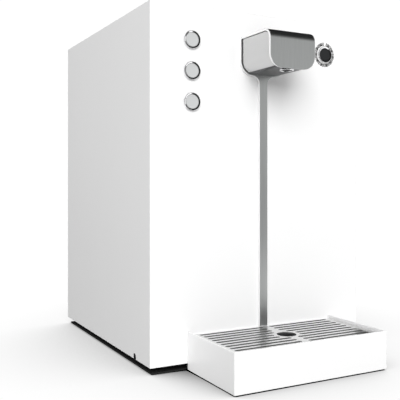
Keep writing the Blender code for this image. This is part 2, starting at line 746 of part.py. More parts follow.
def bezel_profile():
    edge = 0.0009
    barrel_end = -BEZEL_LENGTH
    return [(BEZEL_BORE, BEZEL_PROUD), (BEZEL_RADIUS - edge, BEZEL_PROUD), (BEZEL_RADIUS, BEZEL_PROUD - edge),
            (BEZEL_RADIUS, GAP), (BEZEL_BARREL, GAP), (BEZEL_BARREL, barrel_end),
            (BEZEL_BORE, barrel_end)]


def make_bezel(name, place):
    turned(name, bezel_profile(), CHROME, (place[0], FRONT, place[1]), TO_FRONT, closed=True)


def make_button(number, place):
    make_bezel(f"button_bezel_{number}", place)
    cap_radius = BEZEL_BORE - GAP
    front = BEZEL_PROUD - CAP_RECESS
    edge = 0.0004
    cap = [(0, front), (cap_radius - edge, front), (cap_radius, front - edge),
           (cap_radius, front - CAP_THICKNESS), (0, front - CAP_THICKNESS)]
    turned(f"button_cap_{number}", cap, CAP_GREY, (place[0], FRONT, place[1]), TO_FRONT)
    body_front = front - CAP_THICKNESS - CAP_TRAVEL - 2 * GAP
    barrel_end = -BEZEL_LENGTH - GAP
    switch_end = body_front - SWITCH_LENGTH
    switch = [(0, body_front), (cap_radius - 0.0006, body_front), (cap_radius - 0.0006, barrel_end),
              (BEZEL_BARREL, barrel_end), (BEZEL_BARREL, switch_end), (0, switch_end)]
    turned(f"button_switch_{number}", switch, BLACK_PLASTIC, (place[0], FRONT, place[1]),
           TO_FRONT, steps=24)


def make_controls():
    for number, place in enumerate(button_places(), 1):
        make_button(number, place)
    make_bezel("indicator_bezel", lens_place())
    lens_radius = BEZEL_BORE - GAP
    front = BEZEL_PROUD - CAP_RECESS
    lens = [(0, front), (lens_radius * 0.6, front - 0.0001), (lens_radius - 0.0004, front - 0.0004),
            (lens_radius, front - 0.0008), (lens_radius, front - CAP_THICKNESS),
            (0, front - CAP_THICKNESS)]
    start = (lens_place()[0], FRONT, lens_place()[1])
    turned("indicator_lens", lens, BLACK_LENS, start, TO_FRONT)
    lamp_front = front - CAP_THICKNESS - GAP
    lamp = [(0, lamp_front), (lens_radius - 0.0006, lamp_front),
            (lens_radius - 0.0006, lamp_front - 0.010), (0, lamp_front - 0.010)]
    turned("indicator_lamp", lamp, BOARD_GREEN, start, TO_FRONT, steps=24)


# Drip tray

def slot_start(row_y, hole_y):
    # Nearest that a slot may come to the middle of the grille.
    away = abs(row_y - hole_y)
    keep = GRILLE_HOLE + HOLE_LAND
    half_bar = CENTRE_BAR / 2
    if away >= keep:
        return half_bar
    return max(half_bar, math.sqrt(keep * keep - away * away))


def slot_outline(x_from, x_to, y):
    radius = SLOT_WIDTH / 2
    return [*arc((x_to - radius, y), radius, -90, 90, 4),
            *arc((x_from + radius, y), radius, 90, 270, 4)]


def make_grille():
    half = TRAY_INNER_HALF - GRILLE_CLEARANCE
    front = TRAY_INNER_FRONT + GRILLE_CLEARANCE
    middle_y = (front + GRILLE_BACK) / 2
    outlines = [rounded_rectangle((0, middle_y), 2 * half, GRILLE_BACK - front, 0.001, 2)]
    hole_y = FRONT - NOZZLE_FORWARD
    outlines.append(circle((0, hole_y), GRILLE_HOLE))
    first = FRONT - FIRST_SLOT
    rows = int((first - front - LAST_MARGIN) / SLOT_PITCH) + 1
    end = TRAY_INNER_HALF - SLOT_MARGIN
    for i in range(rows):
        row_y = first - i * SLOT_PITCH
        start = slot_start(row_y, hole_y)
        outlines.append(slot_outline(start, end, row_y))
        outlines.append(slot_outline(-end, -start, row_y))
    plate("tray_grille", outlines, GRILLE_SHEET, BRUSHED,
          Matrix.Translation((0, 0, GRILLE_TOP - GRILLE_SHEET / 2)))


def make_tray():
    front = FRONT - TRAY_REACH
    back = FRONT - TRAY_BACK_GAP
    half = TRAY_WIDTH / 2
    body = pan("tray_body", (-half, front, TRAY_LOW), (half, back, TRAY_RIM), TRAY_WALL, WHITE_PAINT)
    lower = block("back_wall_cut", (-TRAY_INNER_HALF, back - TRAY_WALL - 0.001, GRILLE_TOP),
                  (TRAY_INNER_HALF, back + 0.002, TRAY_RIM + 0.002), WHITE_PAINT)
    cut(body, lower)
    inset = TRAY_MAT_INSET
    block("tray_mat", (-half + inset, front + inset, 0),
          (half - inset, back - inset, TRAY_MAT_THICKNESS), BLACK_RUBBER)
    room = GRILLE_CLEARANCE
    liner_top = GRILLE_TOP - GRILLE_SHEET - GAP
    pan("tray_liner", (-TRAY_INNER_HALF + room, TRAY_INNER_FRONT + room, liner_top - LINER_DEPTH),
        (TRAY_INNER_HALF - room, GRILLE_BACK, liner_top), LINER_WALL, GREY_PLASTIC)
    make_grille()


# Cooling parts

def dome_profile(radius, height, crown, steps=5):
    # A closed can with elliptic ends, from its top pole to its bottom pole.
    top = [(radius * math.sin(a), height - crown + crown * math.cos(a))
           for a in (math.radians(90 * i / steps) for i in range(steps + 1))]
    bottom = [(radius * math.sin(a), crown - crown * math.cos(a))
              for a in (math.radians(90 - 90 * i / steps) for i in range(steps + 1))]
    return [(max(r, 0.0), z) for r, z in top + bottom]


def make_compressor():
    # A domed can on a foot plate, with a terminal cover on its front.
    x = -HALF + COMPRESSOR_FROM_LEFT
    y = (FRONT + REAR) / 2 + COMPRESSOR_BACK
    foot = PAN_FLOOR + GAP
    profile = dome_profile(COMPRESSOR_RADIUS, COMPRESSOR_HEIGHT, COMPRESSOR_CROWN)
    can = turned("compressor", profile, ENAMEL, (x, y, foot + COMPRESSOR_LIFT))
    reach = COMPRESSOR_RADIUS + COMPRESSOR_FOOT
    stand = block("compressor_feet", (x - reach, y - reach / 2, foot),
                  (x + reach, y + reach / 2, foot + COMPRESSOR_LIFT + 0.004), ENAMEL)
    join(can, stand)
    front = y - COMPRESSOR_RADIUS
    terminal = block("compressor_cover", (x - 0.018, front - 0.008, foot + 0.060),
                     (x + 0.018, front + 0.014, foot + 0.100), ENAMEL)
    join(can, terminal)


def make_condenser():
    # Fins and folded tube as one comb-shaped block.
    half = CONDENSER_SIZE / 2
    back = CONDENSER_BACK
    front = back - CONDENSER_DEPTH
    root = front + CONDENSER_WEB
    pitch = CONDENSER_SIZE / (CONDENSER_FINS - 0.5)
    outline = [(CONDENSER_X - half, front)]
    for i in range(CONDENSER_FINS):
        left = CONDENSER_X - half + i * pitch
        right = left + pitch / 2
        if i:
            outline.append((left, root))
        outline += [(left, back), (right, back)]
        if i < CONDENSER_FINS - 1:
            outline.append((right, root))
    outline.append((CONDENSER_X + half, front))
    low = CONDENSER_LOW
    plate("condenser", [outline], CONDENSER_SIZE, ENAMEL,
          Matrix.Translation((0, 0, low + CONDENSER_SIZE / 2)))


def make_fan():
    # Shroud plate, two posts and a strap that holds the motor in front of the blade.
    half = CONDENSER_SIZE / 2
    ring_radius = FAN_RADIUS + FAN_TIP_CLEARANCE
    outline = rounded_rectangle((CONDENSER_X, FAN_Z), CONDENSER_SIZE, CONDENSER_SIZE, 0.004)
    hole = circle((CONDENSER_X, FAN_Z), ring_radius)
    back = SHROUD_BACK
    shroud = plate("fan_shroud", [outline, hole], FAN_SHEET, ZINC,
                   Matrix.Translation((0, back - FAN_SHEET / 2, 0)) @ UPRIGHT)
    shroud = as_mesh(shroud)
    fan_back = back - FAN_SHEET - FAN_SPACE
    fan_front = fan_back - FAN_DEPTH
    strap_back = fan_front - STRAP_SPACE
    strap_front = strap_back - FAN_SHEET
    post_from = ring_radius + POST_SPACE + POST_WIDTH / 2
    low_z = FAN_Z - STRAP_HALF
    high_z = FAN_Z + STRAP_HALF
    for side in (-1, 1):
        x = CONDENSER_X + side * post_from
        join(shroud, block(f"fan_post_{side}", (x - POST_WIDTH / 2, strap_front, low_z),
                           (x + POST_WIDTH / 2, back - FAN_SHEET / 2, high_z), ZINC))
    join(shroud, block("fan_strap", (CONDENSER_X - post_from, strap_front, low_z + 0.0005),
                       (CONDENSER_X + post_from, strap_back, high_z - 0.0005), ZINC))
    cut(shroud, cylinder("shaft_hole", 2 * FAN_SHAFT, 10 * FAN_SHEET, ZINC,
                         (CONDENSER_X, strap_back - 5 * FAN_SHEET, FAN_Z), TO_REAR))
    motor_back = strap_front - GAP
    motor_front = motor_back - MOTOR_LENGTH
    shaft = fan_back - FAN_SPACE - motor_front
    edge = 0.002
    motor = [(0, shaft), (FAN_SHAFT, shaft), (FAN_SHAFT, MOTOR_LENGTH),
             (MOTOR_RADIUS - edge, MOTOR_LENGTH), (MOTOR_RADIUS, MOTOR_LENGTH - edge),
             (MOTOR_RADIUS, edge), (MOTOR_RADIUS - edge, 0), (0, 0)]
    turned("fan_motor", motor, ENAMEL, (CONDENSER_X, motor_front, FAN_Z), TO_REAR)
    make_fan_blade(fan_front)


def make_fan_blade(fan_front):
    # Hub with twisted blades, its origin on the motor's axis.
    place = Matrix.Translation((CONDENSER_X, fan_front, FAN_Z))
    hub = [(FAN_HUB, FAN_DEPTH), (FAN_HUB, 0), (FAN_BORE, 0), (FAN_BORE, FAN_DEPTH)]
    fan = turned("fan_blade", hub, GREY_PLASTIC, (CONDENSER_X, fan_front, FAN_Z), TO_REAR,
                 steps=20, closed=True)
    span = FAN_RADIUS - FAN_HUB + BLADE_ROOT
    for i in range(FAN_BLADES):
        turn = Matrix.Rotation(2 * math.pi * i / FAN_BLADES, 4, "Y")
        blade = add_object(f"blade_{i}", twisted_blade(span), GREY_PLASTIC, place @ turn)
        join(fan, blade)


def twisted_blade(span):
    # A flat bar along X that widens and flattens its pitch towards its tip.
    shape = bmesh.new()
    bmesh.ops.create_cube(shape, size=1.0)
    bmesh.ops.scale(shape, vec=(span, BLADE_SHEET, BLADE_CHORD), verts=shape.verts)
    long_edges = [edge for edge in shape.edges if edge.calc_length() > span * 0.9]
    bmesh.ops.subdivide_edges(shape, edges=long_edges, cuts=3)
    for vert in shape.verts:
        along = vert.co.x / span + 0.5
        pitch = math.radians(ROOT_PITCH + (TIP_PITCH - ROOT_PITCH) * along)
        widened = Vector((0, vert.co.y, vert.co.z * (0.75 + 0.45 * along)))
        vert.co = Matrix.Rotation(pitch, 3, "X") @ widened + Vector((vert.co.x, 0, 0))
    middle = FAN_HUB - BLADE_ROOT + span / 2
    bmesh.ops.translate(shape, vec=(middle, FAN_DEPTH / 2, 0), verts=shape.verts)
    return mesh_from(shape, "blade")


def make_tank():
    # Tank inside its coil, foam jacket round both, foam lid on top.
    base = SHELF_TOP + GAP
    place = (TANK_X, TANK_Y, base)
    tank_low = JACKET_FLOOR + GAP
    top = TANK_TOP - base
    jacket = [(JACKET_OUTER, top), (JACKET_OUTER, 0), (0, 0), (0, JACKET_FLOOR),
              (JACKET_INNER, JACKET_FLOOR), (JACKET_INNER, top)]
    turned("tank_insulation", jacket, FOAM, place, steps=32, closed=True)
    inner = TANK_RADIUS - TANK_WALL
    floor = tank_low + TANK_WALL
    tank = [(0, floor), (inner, floor), (inner, top), (TANK_RADIUS, top), (TANK_RADIUS, tank_low),
            (0, tank_low)]
    turned("cold_tank", tank, STEEL, place, steps=32)
    low = top + GAP
    high = low + LID_HEIGHT
    plug = inner - GAP
    lid = [(0, high), (JACKET_OUTER - 0.002, high), (JACKET_OUTER, high - 0.002),
           (JACKET_OUTER, low), (plug, low), (plug, low - LID_PLUG), (0, low - LID_PLUG)]
    turned("tank_lid", lid, FOAM, place, steps=32)
    # The coil's straight pieces stay clear of the tank.
    per_turn = 16
    radius = (TANK_RADIUS + COIL_TUBE + COIL_SPACE) / math.cos(math.pi / per_turn)
    coil_low = base + tank_low + COIL_MARGIN
    turns = int((TANK_TOP - COIL_MARGIN - coil_low) / COIL_PITCH + 0.01)
    points = []
    for i in range(turns * per_turn + 1):
        angle = 2 * math.pi * i / per_turn
        points.append((TANK_X + radius * math.cos(angle), TANK_Y + radius * math.sin(angle),
                       coil_low + COIL_PITCH * i / per_turn))
    tube("evaporator_coil", points, COIL_TUBE, COPPER, 1)


def make_carbonator():
    # A hollow vessel with its port in the crown.
    base = SHELF_TOP + GAP
    wall = CARBONATOR_WALL
    radius = CARBONATOR_RADIUS
    tall = BODY_TOP - CARBONATOR_BELOW_TOP - base
    outer = dome_profile(radius, tall, CARBONATOR_CROWN)[1:]
    inner = dome_profile(radius - wall, tall - 2 * wall, CARBONATOR_CROWN)[1:]
    inner = [(r, z + wall) for r, z in inner]
    port = CARBONATOR_PORT
    profile = [(port, tall), *outer, *reversed(inner), (port, tall - wall)]
    turned("carbonator", profile, STEEL, (CARBONATOR_X, CARBONATOR_Y, base), closed=True)


def make_valves():
    low = SHELF_TOP + GAP
    high = low + MANIFOLD_TALL
    half = MANIFOLD_DEPTH / 2
    block("valve_manifold", (MANIFOLD_RIGHT - MANIFOLD_LENGTH, MANIFOLD_Y - half, low),
          (MANIFOLD_RIGHT, MANIFOLD_Y + half, high), BRASS, 0.001)
    radius = SOLENOID_RADIUS
    collar = 0.004
    for i in range(BUTTON_COUNT):
        x = -SOLENOID_FIRST - SOLENOID_PITCH * i
        coil = [(0, SOLENOID_HEIGHT), (radius / 2, SOLENOID_HEIGHT),
                (radius / 2, SOLENOID_HEIGHT - collar), (radius, SOLENOID_HEIGHT - collar),
                (radius, collar), (radius * 0.6, collar), (radius * 0.6, 0), (0, 0)]
        turned(f"solenoid_{i + 1}", coil, BLACK_PLASTIC, (x, MANIFOLD_Y, high + GAP), steps=20)


def make_pump():
    # Square pump head on a foot, its motor to the left, the inlet hose from the rear.
    floor = PAN_FLOOR + GAP
    half = PUMP_SIZE / 2
    axis_z = floor + PUMP_FOOT + half
    axis_y = INNER_FRONT + PUMP_BEHIND
    right = WATER_INLET_X + PUMP_PAST_INLET
    left = right - PUMP_LENGTH
    head = block("booster_pump", (left, axis_y - half, axis_z - half),
                 (right, axis_y + half, axis_z + half), BRASS, 0.003)
    foot = block("pump_foot", (left + 0.004, axis_y - half + 0.004, floor),
                 (right - 0.004, axis_y + half - 0.004, axis_z), BRASS)
    join(head, foot)
    radius = PUMP_MOTOR_RADIUS
    length = PUMP_MOTOR_LENGTH
    profile = [(0, length), (radius - 0.003, length), (radius, length - 0.003), (radius, 0), (0, 0)]
    turned("pump_motor", profile, STEEL, (left - GAP, axis_y, axis_z), TO_LEFT)
    hose_end = axis_y + half + GAP
    fitting_end = REAR - SHEET - FITTING_INSIDE - GAP
    tube("inlet_hose", [(WATER_INLET_X, fitting_end, FITTING_HEIGHT),
                        (WATER_INLET_X, hose_end, FITTING_HEIGHT)], HOSE_RADIUS, BLACK_PLASTIC)


# Electrics and connections

def make_board():
    front = INNER_FRONT + BOARD_BEHIND
    low = MANIFOLD_PORT_Z + SOLENOID_HEIGHT + BOARD_OVER_VALVES
    tall = BODY_TOP - BOARD_BELOW_TOP - low
    left = -HALF + BOARD_FROM_LEFT
    board = block("control_board", (left, front, low),
                  (left + BOARD_WIDTH, front + BOARD_SHEET, low + tall), BOARD_GREEN)
    # Relay, transformer, connector and display driver: share of the width and height, size, depth.
    components = ((0.16, 0.16, 0.018, 0.014), (0.45, 0.20, 0.014, 0.010),
                  (0.71, 0.49, 0.020, 0.016), (0.21, 0.70, 0.016, 0.008))
    for i, (across, up, size, deep) in enumerate(components):
        x = left + across * BOARD_WIDTH
        z = low + up * tall
        join(board, block(f"component_{i}", (x - size / 2, front + BOARD_SHEET / 2, z - size / 2),
                          (x + size / 2, front + deep, z + size / 2), BOARD_GREEN))


def make_supply():
    shelf = SHELF_TOP + GAP
    left = -HALF + SUPPLY_FROM_LEFT
    wide, deep, tall = SUPPLY_SIZE
    block("power_supply", (left, SUPPLY_FRONT, shelf),
          (left + wide, SUPPLY_FRONT + deep, shelf + tall), ZINC, 0.001)


def make_fitting(name, x):
    # Push-fit collar outside, threaded barrel through the rear panel, blind bore.
    floor = -SHEET - FITTING_FLOOR
    end = -SHEET - FITTING_INSIDE
    profile = [(FITTING_BORE, REAR_PROUD), (FITTING_RADIUS - 0.001, REAR_PROUD),
               (FITTING_RADIUS, REAR_PROUD - 0.001), (FITTING_RADIUS, GAP), (FITTING_BARREL, GAP),
               (FITTING_BARREL, end), (0, end), (0, floor), (FITTING_BORE, floor)]
    turned(name, profile, BLACK_PLASTIC, (x, REAR, FITTING_HEIGHT), TO_REAR, closed=True)


def make_power_inlet():
    # Mains inlet with a recess for the plug and three pins.
    half_w = INLET_WIDTH / 2
    half_t = INLET_TALL / 2
    x = REAR_LEFT
    z = INLET_HEIGHT
    face = REAR + GAP
    body = block("power_inlet", (x - half_w, REAR - SHEET - INLET_DEPTH, z - half_t),
                 (x + half_w, face + INLET_FLANGE / 2, z + half_t), BLACK_PLASTIC)
    flange = block("inlet_flange", (x - half_w - INLET_EAR, face, z - half_t - INLET_FLANGE),
                   (x + half_w + INLET_EAR, face + INLET_FLANGE, z + half_t + INLET_FLANGE),
                   BLACK_PLASTIC)
    join(body, flange)
    wall = INLET_WALL
    floor = REAR - INLET_RECESS
    recess = block("inlet_recess", (x - half_w + wall, floor, z - half_t + wall),
                   (x + half_w - wall, REAR + 0.01, z + half_t - wall), BLACK_PLASTIC)
    cut(body, recess)
    pin_w, pin_t = PIN_SIZE
    for i in (-1, 0, 1):
        pin_x = x + i * PIN_SPREAD
        pin_z = z + (PIN_STEP if i == 0 else -PIN_STEP)
        pin = block(f"inlet_pin_{i + 2}", (pin_x - pin_w / 2, floor - 0.002, pin_z - pin_t / 2),
                    (pin_x + pin_w / 2, REAR - PIN_BEHIND, pin_z + pin_t / 2), CHROME)
        join(body, pin)


def rocker_frame_width():
    return ROCKER_WIDTH + 2 * (ROCKER_CLEARANCE + FRAME_WALL)


def rocker_frame_tall():
    return 2 * (ROCKER_RADIUS + ROCKER_CLEARANCE + FRAME_WALL)


def make_rocker():
    # The rocker's round sides turn inside its frame; the pivot lies just inside the panel.
    half_w = rocker_frame_width() / 2
    half_t = rocker_frame_tall() / 2
    pivot = REAR - ROCKER_PIVOT
    x = REAR_LEFT
    z = ROCKER_HEIGHT
    face = REAR + GAP
    deep = pivot - ROCKER_RADIUS - ROCKER_CLEARANCE - FRAME_WALL
    frame = block("power_switch_frame", (x - half_w, deep, z - half_t),
                  (x + half_w, face + FRAME_RIM / 2, z + half_t), BLACK_PLASTIC)
    rim = block("switch_rim", (x - half_w - FRAME_RIM, face, z - half_t - FRAME_RIM),
                (x + half_w + FRAME_RIM, face + FRAME_RIM, z + half_t + FRAME_RIM), BLACK_PLASTIC)
    join(frame, rim)
    hollow = ROCKER_RADIUS + ROCKER_CLEARANCE
    hollow_x = ROCKER_WIDTH / 2 + ROCKER_CLEARANCE
    mouth = block("switch_mouth", (x - hollow_x, pivot - hollow, z - hollow),
                  (x + hollow_x, REAR + 0.01, z + hollow), BLACK_PLASTIC)
    cut(frame, mouth)
    tilt = math.degrees(ROCKER_TILT)
    face_up = math.degrees(math.acos(ROCKER_CREST / ROCKER_RADIUS))
    outline = [(ROCKER_CREST, 0.0),
               *arc((0, 0), ROCKER_RADIUS, face_up, 360 - face_up - 2 * tilt, 18)]
    plate("power_rocker", [outline], ROCKER_WIDTH, BLACK_PLASTIC,
          Matrix.Translation((x, pivot, z)) @ SIDEWAYS)


def make_thermostat():
    front = REAR - SHEET - GAP - THERMOSTAT_DEPTH
    spindle = REAR + SPINDLE_PROUD - front
    body = [(0, spindle), (SPINDLE_RADIUS, spindle), (SPINDLE_RADIUS, THERMOSTAT_DEPTH),
            (THERMOSTAT_RADIUS, THERMOSTAT_DEPTH), (THERMOSTAT_RADIUS, 0), (0, 0)]
    turned("thermostat_body", body, ZINC, (REAR_LEFT, front, KNOB_HEIGHT), TO_REAR)
    bore = SPINDLE_RADIUS + GAP
    floor = KNOB_DEPTH - KNOB_FLOOR
    knob = [(0, KNOB_DEPTH), (KNOB_RADIUS - 0.002, KNOB_DEPTH), (KNOB_RADIUS, KNOB_DEPTH - 0.0015),
            (KNOB_RADIUS, GAP), (bore, GAP), (bore, floor), (0, floor)]
    dial = turned("thermostat_knob", knob, BLACK_PLASTIC, (REAR_LEFT, REAR, KNOB_HEIGHT), TO_REAR)
    groove = block("knob_groove", (REAR_LEFT - 0.0007, REAR + KNOB_DEPTH - 0.0006, KNOB_HEIGHT + 0.004),
                   (REAR_LEFT + 0.0007, REAR + KNOB_DEPTH + 0.001, KNOB_HEIGHT + KNOB_RADIUS + 0.001),
                   BLACK_PLASTIC)
    cut(dial, groove)


make_cabinet()
make_spout()
make_controls()
make_tray()
make_compressor()
make_condenser()
make_fan()
make_tank()
make_carbonator()
make_valves()
make_pump()
make_board()
make_supply()
make_power_inlet()
make_rocker()
make_thermostat()
make_fitting("water_inlet_fitting", WATER_INLET_X)
make_fitting("gas_inlet_fitting", GAS_INLET_X)
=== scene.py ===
# Looks for a countertop water dispenser: painted steel cabinet, bent steel spout on a
# strip, push buttons, indicator, drip tray and the connections at the rear.
import json
import math

import bmesh
import bpy
from mathutils import Matrix, Vector
from mathutils.bvhtree import BVHTree


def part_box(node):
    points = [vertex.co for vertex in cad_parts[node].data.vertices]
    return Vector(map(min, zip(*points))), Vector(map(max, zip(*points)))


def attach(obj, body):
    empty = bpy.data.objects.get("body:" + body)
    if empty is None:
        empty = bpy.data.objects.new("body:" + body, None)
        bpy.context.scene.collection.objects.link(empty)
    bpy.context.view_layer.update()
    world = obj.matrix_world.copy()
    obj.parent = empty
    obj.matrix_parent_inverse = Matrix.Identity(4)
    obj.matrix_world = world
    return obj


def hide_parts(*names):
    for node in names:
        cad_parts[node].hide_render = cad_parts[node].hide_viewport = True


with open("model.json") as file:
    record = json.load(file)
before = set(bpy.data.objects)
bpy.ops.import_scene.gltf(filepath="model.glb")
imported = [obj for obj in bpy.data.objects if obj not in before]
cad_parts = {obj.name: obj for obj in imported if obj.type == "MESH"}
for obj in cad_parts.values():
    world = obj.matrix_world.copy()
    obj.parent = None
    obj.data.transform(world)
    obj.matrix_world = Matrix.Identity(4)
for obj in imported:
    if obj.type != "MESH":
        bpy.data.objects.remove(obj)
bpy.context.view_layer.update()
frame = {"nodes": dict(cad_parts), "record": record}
nodes = frame["nodes"]
print("frame loaded:", len(nodes), "nodes")


def newGroup(name, inputs, outputs):
    group = bpy.data.node_groups.new(name, "ShaderNodeTree")
    for label, kind, value in inputs:
        socket = group.interface.new_socket(label, in_out="INPUT", socket_type=kind)
        socket.default_value = value
    for label, kind in outputs:
        group.interface.new_socket(label, in_out="OUTPUT", socket_type=kind)
    return group, group.nodes.new("NodeGroupInput"), group.nodes.new("NodeGroupOutput")


def feed(tree, socket, value):
    # A number or a colour is set on the socket, and another node's output is linked to it.
    if isinstance(value, (int, float)):
        socket.default_value = value
    elif isinstance(value, tuple):
        socket.default_value = (*value, 1.0)
    else:
        tree.links.new(value, socket)


def maths(tree, operation, first, second, clamp=False):
    node = tree.nodes.new("ShaderNodeMath")
    node.operation = operation
    node.use_clamp = clamp
    feed(tree, node.inputs[0], first)
    feed(tree, node.inputs[1], second)
    return node.outputs[0]


def noise(tree, vector, scale, detail, roughness=0.5):
    node = tree.nodes.new("ShaderNodeTexNoise")
    node.inputs["Detail"].default_value = detail
    node.inputs["Roughness"].default_value = roughness
    tree.links.new(vector, node.inputs["Vector"])
    feed(tree, node.inputs["Scale"], scale)
    return node.outputs["Fac"]


def objectCoords(tree):
    return tree.nodes.new("ShaderNodeTexCoord").outputs["Object"]


def mixColours(tree, factor, first, second):
    # A Mix node keeps its colours at sockets 6 and 7, and the mixed colour at output 2.
    node = tree.nodes.new("ShaderNodeMix")
    node.data_type = "RGBA"
    for place, value in ((0, factor), (6, first), (7, second)):
        feed(tree, node.inputs[place], value)
    return node.outputs[2]


def varyFinish(group, start, end, pattern):
    # The pattern shifts the colour by Tint and the roughness by Spread, both ways.
    signed = maths(group, "MULTIPLY", maths(group, "SUBTRACT", pattern, 0.5), 2.0)
    bright = maths(group, "ADD", maths(group, "MULTIPLY", signed, start.outputs["Tint"]), 1.0)
    scaled = group.nodes.new("ShaderNodeVectorMath")
    scaled.operation = "SCALE"
    group.links.new(start.outputs["Colour"], scaled.inputs[0])
    group.links.new(bright, scaled.inputs["Scale"])
    group.links.new(scaled.outputs[0], end.inputs["Colour"])
    rough = maths(group, "ADD", start.outputs["Roughness"],
                  maths(group, "MULTIPLY", signed, start.outputs["Spread"]), True)
    group.links.new(rough, end.inputs["Roughness"])


def makeGrainGroup():
    # Fine grain in the coat or moulding, with broad slight unevenness under it.
    group, start, end = newGroup(
        "fineGrain",
        [("Colour", "NodeSocketColor", (0.8, 0.8, 0.8, 1)), ("Roughness", "NodeSocketFloat", 0.4),
         ("Scale", "NodeSocketFloat", 900.0), ("Tint", "NodeSocketFloat", 0.04),
         ("Spread", "NodeSocketFloat", 0.08)],
        [("Colour", "NodeSocketColor"), ("Roughness", "NodeSocketFloat"), ("Height", "NodeSocketFloat")])
    coords = objectCoords(group)
    fine = noise(group, coords, start.outputs["Scale"], 2)
    broad = noise(group, coords, 14.0, 3, 0.6)
    both = maths(group, "ADD", maths(group, "MULTIPLY", fine, 0.5), maths(group, "MULTIPLY", broad, 0.5))
    varyFinish(group, start, end, both)
    group.links.new(fine, end.inputs["Height"])
    return group


def makeBrushGroup():
    # Straight brushing: noise drawn out along one axis, coarse lines over fine ones.
    group, start, end = newGroup(
        "brushedLines",
        [("Colour", "NodeSocketColor", (0.6, 0.6, 0.6, 1)), ("Roughness", "NodeSocketFloat", 0.3),
         ("Along", "NodeSocketVector", (1.0, 1.0, 0.02)), ("Scale", "NodeSocketFloat", 1600.0),
         ("Tint", "NodeSocketFloat", 0.15), ("Spread", "NodeSocketFloat", 0.12)],
        [("Colour", "NodeSocketColor"), ("Roughness", "NodeSocketFloat"), ("Height", "NodeSocketFloat")])
    stretched = group.nodes.new("ShaderNodeVectorMath")
    stretched.operation = "MULTIPLY"
    group.links.new(objectCoords(group), stretched.inputs[0])
    group.links.new(start.outputs["Along"], stretched.inputs[1])
    fine = noise(group, stretched.outputs[0], start.outputs["Scale"], 2, 0.6)
    coarse = noise(group, stretched.outputs[0], maths(group, "MULTIPLY", start.outputs["Scale"], 0.28), 2)
    both = maths(group, "ADD", maths(group, "MULTIPLY", fine, 0.6), maths(group, "MULTIPLY", coarse, 0.4))
    varyFinish(group, start, end, both)
    group.links.new(both, end.inputs["Height"])
    return group


def makeWearGroup():
    # How much an edge is rubbed: where a rounded normal leaves the flat one, broken up by noise.
    group, start, end = newGroup(
        "edgeWear", [("Reach", "NodeSocketFloat", 0.0006), ("Amount", "NodeSocketFloat", 0.5)],
        [("Mask", "NodeSocketFloat")])
    rounded = group.nodes.new("ShaderNodeBevel")
    rounded.samples = 4
    group.links.new(start.outputs["Reach"], rounded.inputs["Radius"])
    flat = group.nodes.new("ShaderNodeNewGeometry")
    dot = group.nodes.new("ShaderNodeVectorMath")
    dot.operation = "DOT_PRODUCT"
    group.links.new(rounded.outputs[0], dot.inputs[0])
    group.links.new(flat.outputs["Normal"], dot.inputs[1])
    bend = maths(group, "MULTIPLY", maths(group, "SUBTRACT", 1.0, dot.outputs["Value"]), 6.0, True)
    broken = maths(group, "ADD", noise(group, objectCoords(group), 260.0, 3), 0.25, True)
    mask = maths(group, "MULTIPLY", maths(group, "MULTIPLY", bend, broken), start.outputs["Amount"], True)
    group.links.new(mask, end.inputs["Mask"])
    return group


def makeDustGroup():
    # Faint dust and wiping marks, thicker on faces that look up.
    group, start, end = newGroup(
        "dustFilm", [("Amount", "NodeSocketFloat", 0.1), ("Scale", "NodeSocketFloat", 30.0)],
        [("Mask", "NodeSocketFloat")])
    coords = objectCoords(group)
    cloud = noise(group, coords, start.outputs["Scale"], 4, 0.65)
    specks = noise(group, coords, 1400.0, 1)
    split = group.nodes.new("ShaderNodeSeparateXYZ")
    group.links.new(group.nodes.new("ShaderNodeNewGeometry").outputs["Normal"], split.inputs[0])
    up = maths(group, "ADD", maths(group, "MULTIPLY", split.outputs["Z"], 0.6), 0.4, True)
    spotted = maths(group, "GREATER_THAN", specks, 0.66)
    layer = maths(group, "ADD", maths(group, "SUBTRACT", cloud, 0.32, True),
                  maths(group, "MULTIPLY", spotted, 0.25), True)
    mask = maths(group, "MULTIPLY", maths(group, "MULTIPLY", layer, up), start.outputs["Amount"], True)
    group.links.new(mask, end.inputs["Mask"])
    return group


shaderGroups = {"grain": makeGrainGroup(), "brush": makeBrushGroup(), "wear": makeWearGroup(),
                "dust": makeDustGroup()}


def placeGroup(tree, kind, values):
    node = tree.nodes.new("ShaderNodeGroup")
    node.node_tree = shaderGroups[kind]
    for label, value in values.items():
        node.inputs[label].default_value = (*value, 1.0) if label == "Colour" else value
    return node


dustColour = (0.62, 0.61, 0.59)


